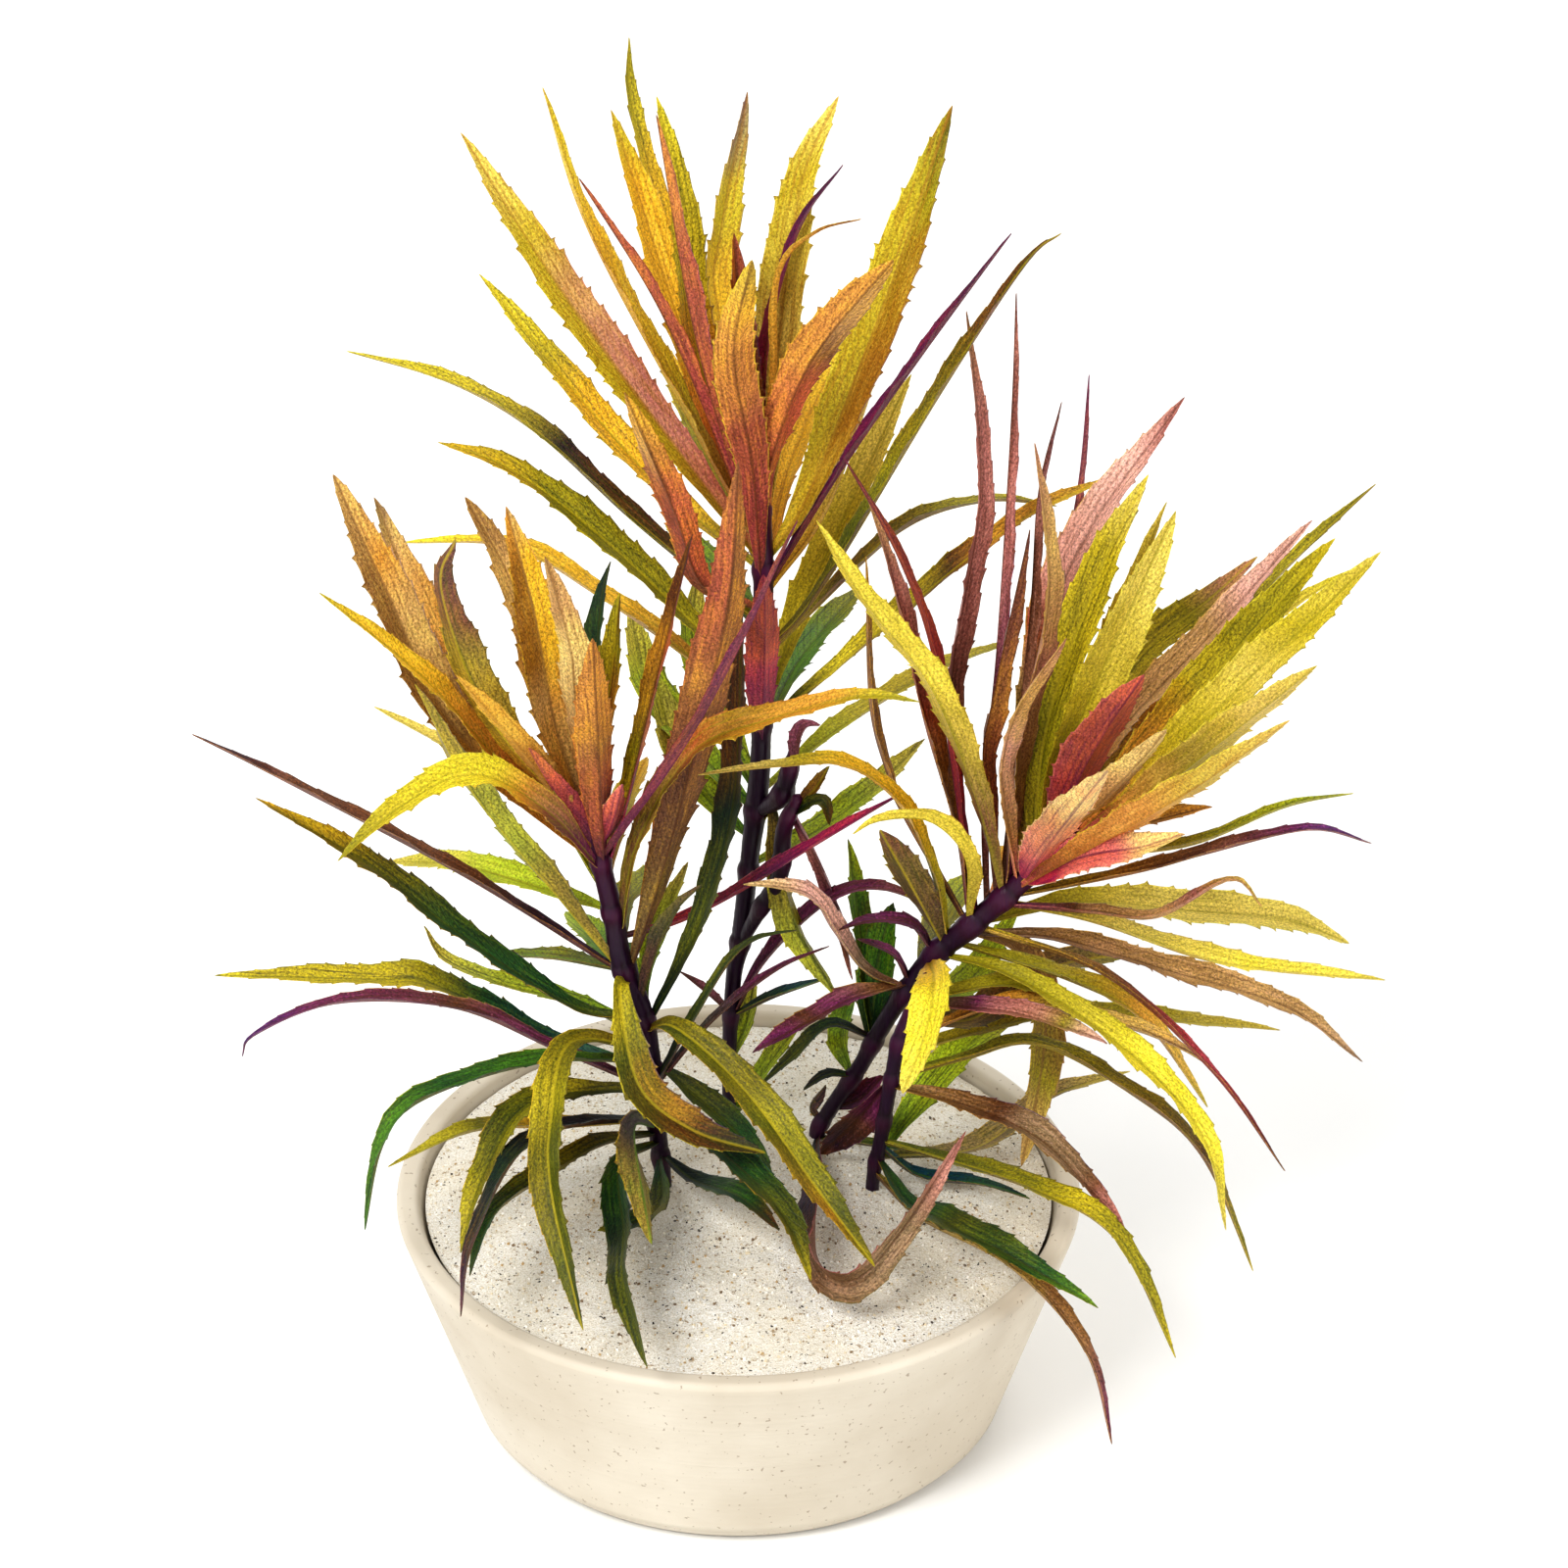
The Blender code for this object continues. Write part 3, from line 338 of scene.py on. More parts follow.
stoneware, tree, shader = material_of("bare_stoneware", 0.55, 0.4)
place = object_places(tree)
cloud = noise(tree, place, 26.0, 4.0)
turning = noise(tree, place, (14.0, 14.0, 900.0), 2.0)
specks = between(tree, noise(tree, place, 900.0, 1.0), 0.70, 0.74)
tone = mixed(tree, between(tree, cloud, 0.35, 0.65), CLAY_TONE, CLAY_CLOUD)
tone = mixed(tree, times(tree, specks, 0.55), tone, CLAY_SPECK)
tree.links.new(tone, shader.inputs["Base Color"])
tree.links.new(between(tree, cloud, 0.3, 0.7, 0.48, 0.64), shader.inputs["Roughness"])
raised(tree, plus(tree, turning, times(tree, cloud, 0.6)), shader, 0.35, 0.0004)
pot.data.materials.append(stoneware)
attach(pot, "root")
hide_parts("pot")

# The sand: fine pale quartz sand that fills the pot to a low crown.  It is a bed with small
# dips, and loose grains lie on it, most of them cream, some brown and a few nearly black.
SAND_EDGE = 51.0
SAND_GAP = 0.35
SAND_RINGS = 110
SAND_SIDES = 300
SAND_ROUGH = 0.05
DIPS = 26
DIP_SHORTEST = 6.0
DIP_SPREAD = 24.0
DIP_SHIFT = 3.0
DIP_DEPTH = 0.022
GRAINS = 7000
GRAIN_SMALLEST = 0.35
GRAIN_LARGEST = 1.05
GRAIN_FROM_EDGE = 0.8
GRAIN_RISE = 0.15
LUMP_REACH = (0.65, 1.1)
TONE_REACH = (0.85, 1.1)
# Tones of the grains, and the share of them that has each
GRAIN_TONES = (
    (linear(240, 235, 222), 0.38), (linear(222, 208, 178), 0.22), (linear(252, 250, 244), 0.22),
    (linear(176, 142, 88), 0.10), (linear(104, 78, 48), 0.05), (linear(34, 30, 30), 0.03))
SAND_PALE, SAND_WHITE = linear(220, 212, 194), linear(252, 250, 244)
SAND_CREAM, SAND_BROWN = linear(228, 216, 190), linear(150, 118, 70)
SAND_BLACK, GRIT_WORN = linear(44, 36, 32), linear(230, 214, 184)
sand_random = np.random.default_rng(11)
sand_edge_radius = pot_inner_radius(SAND_EDGE) - SAND_GAP
dips = sand_random.uniform(-1.0, 1.0, (DIPS, 4))


def sand_height(x, y):
    """The bed's height: a crown that falls as a cosine to the edge, with soft dips on it.

    Each dip is a wave of its own length, direction and phase.  They fade out at the edge.
    """
    share = np.clip(np.hypot(x, y) / sand_edge_radius, 0.0, 1.0)
    height = SAND_EDGE + (SAND_CROWN - SAND_EDGE) * np.cos(share * math.pi / 2)
    for turn, length, phase, depth in dips:
        wave = DIP_SHORTEST + DIP_SPREAD * abs(length)
        angle = turn * math.pi
        run = (x * math.cos(angle) + y * math.sin(angle)) / wave + phase * DIP_SHIFT
        height = height + (DIP_DEPTH * wave ** 0.7 * depth * np.sin(WHOLE_TURN * run)
                           * (1 - share ** 6))
    return height


sand_low = POT_FLOOR + SAND_GAP
sand_low_radius = pot_inner_radius(sand_low) - SAND_GAP
shares = np.linspace(0.0, 1.0, SAND_RINGS)[1:, None]
turn = (np.arange(SAND_SIDES) * WHOLE_TURN / SAND_SIDES)[None, :]
bed_x = sand_edge_radius * shares * np.cos(turn)
bed_y = sand_edge_radius * shares * np.sin(turn)
bed_z = sand_height(bed_x, bed_y) + sand_random.normal(0.0, SAND_ROUGH, bed_x.shape)
bed_places = np.stack((bed_x, bed_y, bed_z), axis=2).reshape(-1, 3)
low_ring = np.stack((sand_low_radius * np.cos(turn[0]), sand_low_radius * np.sin(turn[0]),
                     np.full(SAND_SIDES, sand_low)), axis=1)
middles = [(0.0, 0.0, float(sand_height(0.0, 0.0))), (0.0, 0.0, sand_low)]
bed_quads, bed_fans = ring_faces(SAND_RINGS, SAND_SIDES)
sand = mesh_piece("sand_bed", np.vstack((bed_places, low_ring, middles)),
                  bed_quads[:, ::-1], bed_fans[:, ::-1], sharp=50.0)

lump_places = np.array(((1, 0, 0), (0, 1, 0), (-1, 0, 0), (0, -1, 0), (0, 0, 0.9), (0, 0, -0.9),
                        (0.6, 0.6, 0.5), (-0.6, 0.55, -0.5)))
lump_faces = np.array(((0, 6, 4), (6, 1, 4), (1, 2, 4), (2, 3, 4), (3, 0, 4), (0, 1, 6),
                       (1, 0, 5), (1, 5, 7), (7, 5, 2), (1, 7, 2), (3, 2, 5), (0, 3, 5)))


def strewn_grains(count, random):
    """Loose grains on the bed: one uneven lump, turned, sized and placed for each grain.

    Their places are even over the disc, because the radius is the root of an even draw.
    """
    radius = (sand_edge_radius - GRAIN_FROM_EDGE) * np.sqrt(random.uniform(0.0, 1.0, count))
    angle = random.uniform(0.0, WHOLE_TURN, count)
    x, y = radius * np.cos(angle), radius * np.sin(angle)
    bigness = random.uniform(0.0, 1.0, count) ** 2.5
    size = GRAIN_SMALLEST + (GRAIN_LARGEST - GRAIN_SMALLEST) * bigness
    middle = np.stack((x, y, sand_height(x, y) + GRAIN_RISE * size), axis=1)
    spin = np.linalg.qr(random.normal(size=(count, 3, 3)))[0]
    spin[:, :, 0] *= np.sign(np.linalg.det(spin))[:, None]
    lump = lump_places[None] * random.uniform(*LUMP_REACH, (count, len(lump_places), 1))
    places = np.einsum("nij,nkj->nki", spin, lump) * size[:, None, None] / 2 + middle[:, None]
    faces = lump_faces[None] + (np.arange(count) * len(lump_places))[:, None, None]
    return places.reshape(-1, 3), faces.reshape(-1, 3)


grain_places, grain_faces = strewn_grains(GRAINS, sand_random)
picks = sand_random.choice(len(GRAIN_TONES), GRAINS, p=[share for _, share in GRAIN_TONES])
grain_colours = np.array([tone for tone, _ in GRAIN_TONES])[picks]
grain_colours = grain_colours * sand_random.uniform(*TONE_REACH, (GRAINS, 1))
grains = mesh_piece("sand_grains", grain_places, np.zeros((0, 4), int), grain_faces, sharp=30.0,
                    colours=np.repeat(grain_colours, len(lump_places), axis=0))


def vertex_tint(tree):
    """The tint that each vertex of the piece carries."""
    node = tree.nodes.new("ShaderNodeAttribute")
    node.attribute_name = "tint"
    return node.outputs["Color"]


bed_sand, tree, shader = material_of("quartz_sand", 0.9, 0.25)
place = object_places(tree)
fine = noise(tree, place, 2600.0, 2.0, 0.7)
coarse = noise(tree, place, 700.0, 3.0, 0.7)
drift = noise(tree, place, 60.0, 3.0)
dark = noise(tree, place, 1150.0, 1.0)
tone = mixed(tree, between(tree, fine, 0.38, 0.62), SAND_PALE, SAND_WHITE)
tone = mixed(tree, between(tree, drift, 0.40, 0.65, 0.0, 0.4), tone, SAND_CREAM)
tone = mixed(tree, between(tree, coarse, 0.60, 0.68, 0.0, 0.80), tone, SAND_BROWN)
tone = mixed(tree, between(tree, dark, 0.70, 0.73), tone, SAND_BLACK)
tree.links.new(tone, shader.inputs["Base Color"])
raised(tree, plus(tree, fine, times(tree, coarse, 1.6)), shader, 0.8, 0.0005)
sand.data.materials.append(bed_sand)

grit, tree, shader = material_of("quartz_grit", 0.6, 0.5)
worn = between(tree, noise(tree, object_places(tree), 3000.0, 2.0), 0.3, 0.7)
tone = mixed(tree, times(tree, worn, 0.25), vertex_tint(tree), GRIT_WORN)
tree.links.new(tone, shader.inputs["Base Color"])
tree.links.new(between(tree, worn, 0.0, 1.0, 0.45, 0.75), shader.inputs["Roughness"])
grains.data.materials.append(grit)
for piece in (sand, grains):
    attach(piece, "root")
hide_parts("sand")

# The stems: four soft round stems, nearly black with purple, pushed into the sand.  Each
# whorl of leaves sits on a swollen knot, and two side shoots branch off the tallest stem.
STEM_BURIED = 18.0
STEM_SIDES = 20
STEM_STEP = 0.55
STEM_WAIST = 0.90
KNOT_SWELL = 0.20
KNOT_LENGTH = 1.7
KNOT_DROP = 0.8
SCAR_DEPTH = 0.07
SCAR_LENGTH = 0.45
SCAR_RISE = 1.1
STEM_RIBS = 4
RIB_HEIGHT = 0.035
RIB_TWIST = 2.0
SKIN_ROUGH = 0.008
STEM_DARK, STEM_WARM = linear(14, 5, 26), linear(84, 16, 56)
STEM_VIOLET, STEM_MOSS = linear(52, 16, 58), linear(24, 26, 12)
# Course of a stem from the sand up, as places (across, up, back, radius)
STEMS = {
    "tall": ((-2, 11, 22, 1.6), (-2, 28, 22, 1.7), (-1, 44, 22, 1.9), (0.5, 52, 22, 2.3),
             (2.5, 70, 22, 2.2), (4, 82, 22, 2.6), (5, 96, 21, 2.3), (5.5, 134, 20, 2.4),
             (5, 150, 20, 1.9), (5, 158, 20, 1.1)),
    "left": ((-16.4, -2, -4, 1.9), (-18, 12, -4, 2.2), (-19, 24, -5, 2.3), (-21, 36, -6, 2.3),
             (-25.6, 47, -7, 2.6), (-27.6, 58, -7, 2.4), (-31.5, 74, -8, 2.2), (-33, 80, -8, 1.2)),
    "right": ((17, 8, 16, 1.8), (20, 14.4, 16, 1.9), (26.4, 23.6, 14, 2.0), (30.4, 30.8, 12, 2.1),
              (35.4, 38.8, 10, 2.3), (42.6, 48, 8, 2.7), (48.8, 53.2, 6, 2.8), (56, 59.2, 4, 2.7),
              (63, 65.4, 2, 2.5), (69, 71.5, 0, 2.1), (74, 77, -1, 1.2)),
    "low": ((29.4, -2, -4, 1.6), (31.4, 9, -5, 1.7), (33.4, 20.4, -6, 1.7), (35.6, 31, -6, 1.8),
            (39.6, 38.8, -6, 1.7), (41, 44, -6, 1.0)),
}
SIDE_SHOOTS = {
    "tall_low_shoot": ((0.5, 51, 22, 1.5), (5, 59, 17, 1.9), (9, 66, 14, 2.1), (10, 76, 13, 2.0),
                       (13, 83, 12, 1.3)),
    "tall_high_shoot": ((4, 80, 22, 1.6), (9, 83, 17, 2.4), (11, 88, 15, 2.2), (12, 93, 14, 1.2)),
}
GROWTH = {**STEMS, **SIDE_SHOOTS}
# Heights of the knots
KNOTS = {
    "tall": (36, 52, 68, 81, 100, 117, 134, 147),
    "left": (5, 13, 24, 35, 46, 59, 70, 77),
    "right": (12, 22, 30, 41, 50, 56, 62, 68, 73),
    "low": (4, 13, 22, 30, 37),
    "tall_low_shoot": (60, 70, 80),
    "tall_high_shoot": (85, 91),
}


def unit(vector):
    """The vector, or each row of vectors, at length one."""
    return vector / np.maximum(np.linalg.norm(vector, axis=-1, keepdims=True), 1e-9)


def seen(across, up, back):
    """The place seen at (across, up) on the plane that faces the eye, with its y at BACK.

    The line from the eye through the plane's point is followed until its y is BACK.
    """
    on_plane = CROWN + RIGHTWARD * across + UPWARD * up
    reach = (back - EYE[1]) / (on_plane[1] - EYE[1])
    return EYE + (on_plane - EYE) * reach


def run_along(points):
    """How far along the points each of them lies."""
    legs = np.linalg.norm(np.diff(points, axis=0), axis=1)
    return np.concatenate(((0.0,), np.cumsum(legs)))


def read_off(wanted, known, rows):
    """The rows, known at some values, at the wanted ones between them."""
    return np.stack([np.interp(wanted, known, column) for column in rows.T], axis=-1)


def smooth_course(points, shares):
    """Places at shares of the length of a smooth curve: cubic pieces that pass every point."""
    padded = np.vstack((2 * points[0] - points[1], points, 2 * points[-1] - points[-2]))
    t = np.linspace(0.0, 1.0, 16, endpoint=False)[None, :, None]
    p0, p1, p2, p3 = (padded[k:len(padded) - 3 + k, None] for k in range(4))
    dense = 0.5 * (2 * p1 + (p2 - p0) * t + (2 * p0 - 5 * p1 + 4 * p2 - p3) * t**2
                   + (3 * p1 - p0 - 3 * p2 + p3) * t**3)
    dense = np.vstack((dense.reshape(-1, 3), points[-1:]))
    run = run_along(dense)
    return read_off(np.asarray(shares) * run[-1], run, dense)


def stem_tints(shares, knot, scar):
    """Tints of a stem's rings: dark, warmer on the knots and towards the tip, dark scars."""
    top = np.clip((shares - 0.70) / 0.3, 0.0, 1.0)
    warm = np.clip(0.10 + 0.30 * knot + 0.62 * top, 0.0, 1.0)[:, None]
    tint = STEM_DARK * (1 - warm) + STEM_WARM * warm
    tint = tint * (1 - 0.5 * np.clip(scar, 0.0, 1.0))[:, None]
    return np.vstack((np.repeat(tint, STEM_SIDES, axis=0), tint[:1], tint[-1:]))


def stem_skin(stem, random):
    """Places, faces and tints of a stem: rings carried along its smooth course.

    The radius follows the stem's rows and swells at each knot by a bell curve, with a
    narrow scar just above it.  The last ring closes to a point.
    """
    rows = np.array(GROWTH[stem], float)
    points = np.array([seen(across, up, back) for across, up, back, _ in rows])
    heights, radii = rows[:, 1], rows[:, 3]
    if stem in STEMS:
        points = np.vstack((points[0] - (0.0, 0.0, STEM_BURIED), points))
        heights = np.concatenate((heights[:1] - STEM_BURIED, heights))
        radii = np.concatenate((radii[:1], radii))
    run = run_along(points)
    shares = np.linspace(0.0, 1.0, int(run[-1] / STEM_STEP))
    middle = smooth_course(points, shares)
    height = np.interp(shares * run[-1], run, heights)
    above = height[:, None] - np.array(KNOTS[stem])
    knot = np.exp(-((above + KNOT_DROP) / KNOT_LENGTH) ** 2).sum(axis=1)
    scar = np.exp(-((above - SCAR_RISE) / SCAR_LENGTH) ** 2).sum(axis=1)
    radius = np.interp(shares * run[-1], run, radii)
    radius = radius * (STEM_WAIST + KNOT_SWELL * knot - SCAR_DEPTH * scar)
    along = unit(np.gradient(middle, axis=0))
    side = unit(np.cross(along, (0.0, 1.0, 0.0)))
    deep = np.cross(side, along)
    turn = np.arange(STEM_SIDES) * WHOLE_TURN / STEM_SIDES
    ribs = 1.0 + RIB_HEIGHT * np.cos(STEM_RIBS * turn[None] + RIB_TWIST * shares[:, None])
    ribs = ribs + random.normal(0.0, SKIN_ROUGH, ribs.shape)
    wide = (radius[:, None] * ribs)[..., None]
    rings = (middle[:, None] + side[:, None] * np.cos(turn)[None, :, None] * wide
             + deep[:, None] * np.sin(turn)[None, :, None] * wide)
    tip = middle[-1:] + along[-1:] * radius[-1]
    quads, fans = ring_faces(len(rings), STEM_SIDES)
    places = np.vstack((rings.reshape(-1, 3), middle[:1], tip))
    return places, quads[:, (0, 3, 2, 1)], fans[:, ::-1], stem_tints(shares, knot, scar)


def gathered(parts):
    """Several parts' arrays of places, quads, fans and more, as one part's."""
    places, quads, fans, *more = zip(*parts)
    first = np.concatenate(((0,), np.cumsum([len(part) for part in places])[:-1]))
    quads, fans = (np.vstack([face + k for face, k in zip(faces, first)])
                   for faces in (quads, fans))
    return np.vstack(places), quads, fans, *(np.vstack(rows) for rows in more)


skin, tree, shader = material_of("stem_skin", 0.40, 0.30)
place = object_places(tree)
tint = vertex_tint(tree)
lengthwise = noise(tree, place, (1500.0, 1500.0, 160.0), 3.0, 0.6)
blotch = noise(tree, place, 190.0, 3.0)
tone = mixed(tree, between(tree, lengthwise, 0.35, 0.75), tint, STEM_VIOLET)
tone = mixed(tree, between(tree, blotch, 0.45, 0.72, 0.0, 0.5), tone, STEM_MOSS)
tree.links.new(mixed(tree, 0.45, tint, tone), shader.inputs["Base Color"])
tree.links.new(between(tree, lengthwise, 0.3, 0.7, 0.30, 0.5), shader.inputs["Roughness"])
raised(tree, lengthwise, shader, 0.5, 0.0003)

stem_random = np.random.default_rng(23)
for stem in STEMS:
    grown = [name for name in GROWTH if name.startswith(stem)]
    places, quads, fans, tints = gathered([stem_skin(name, stem_random) for name in grown])
    piece = mesh_piece(stem + "_stem_skin", places, quads, fans, colours=tints)
    piece.data.materials.append(skin)
    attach(piece, "root")
    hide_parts(stem + "_stem")

# The leaves of the tallest stem: long, soft, toothed blades in whorls round the knots.  A
# blade is one thin sheet, channelled along its midrib, that grows from a narrow foot.
LEAF_STATIONS = (0.0, 0.13, 0.31, 0.5, 0.69, 0.87, 1.0)
LEAF_STEPS = np.linspace(0.0, 1.0, 129)
LEAF_SMOOTHING = 13
FOOT_INSIDE = 0.7
FOOT_WIDTH = 1.5
# Form of a blade: how far past its middle it is broadest, and the power of its shoulders
FORMS = {"lance": (1.15, 0.8), "blunt": (1.35, 0.7), "young": (0.95, 0.75)}
CHANNEL = 0.44
WAVE_HEIGHT = 0.10
WAVE_SHORTEST, WAVE_LONGEST = 17.0, 30.0
RUFFLE_HEIGHT = 0.035
RUFFLE_LENGTH = 7.3
MIDRIB_THICKNESS = 0.46
MARGIN_THICKNESS = 0.20
MIDRIB_HALF_WIDTH = 0.42
GROOVE_DEPTH = 0.16
KEEL_DEPTH = 0.42
TOOTH_SPACING = 6.25
TOOTH_HEIGHT = 0.95
TOOTH_ROOT = 0.35
FEWEST_TEETH = 4
BROAD_HALF = 4.0
TEETH_START, TEETH_END = 0.16, 0.97
TEETH_FADE = 0.12
PLAIN_PLACES = np.linspace(0.0, TEETH_START, 9)[:-1]
TIP_PLACES = (0.972, 0.985, 0.995)
# Shares of a tooth's length where it has a vertex, and how far it stands out there
TOOTH_PLACES = np.array((0.0, 0.45, 0.78, 0.96))
TOOTH_RISES = np.array((0.0, 0.14, 0.42, 1.0))
# The least and the most that chance gives a tooth, in length and in height
TOOTH_LENGTHS = (0.5, 1.6)
TOOTH_HEIGHTS = (0.45, 1.25)
RIGHT_TOOTH_LATE = 0.6
# How far each margin leans to its tint, which is partly painted light: a pale lit edge and a dark
# outline on the shaded side
MARGIN_TINT = 0.65
UNDER_TINT = 0.22
TINT_DRIFT = 0.05
HALVES_MEET = 4.0
MAP_REACH = 400.0
ACROSS = np.array((-1.0, -0.93, -0.68, -0.38, -0.11, 0.0, 0.11, 0.38, 0.68, 0.93, 1.0))
FROM_RIB = np.abs(ACROSS)
PALETTE = {name: linear(*steps) for name, steps in {
    "lemon": (232, 214, 52), "straw": (214, 192, 90), "cream": (252, 224, 140),
    "brass": (186, 168, 34), "gold": (230, 178, 38), "ochre": (206, 142, 48),
    "orange": (214, 114, 46), "tan": (202, 162, 98), "blush": (224, 172, 156),
    "rose": (242, 134, 124), "coral": (210, 98, 62), "crimson": (150, 34, 48),
    "magenta": (174, 40, 90), "mauve": (176, 112, 104), "rust": (160, 72, 42),
    "brown": (134, 97, 50), "drab": (136, 114, 80), "bronze": (156, 108, 30),
    "umber": (84, 46, 18), "olive": (140, 132, 20), "reed": (110, 100, 10),
    "moss": (72, 78, 12), "lime": (168, 188, 36), "green": (82, 130, 28),
    "forest": (30, 74, 26), "deep": (12, 36, 22), "teal": (14, 62, 80),
    "violet": (54, 20, 108), "plum": (92, 20, 70), "night": (24, 8, 34)}.items()}
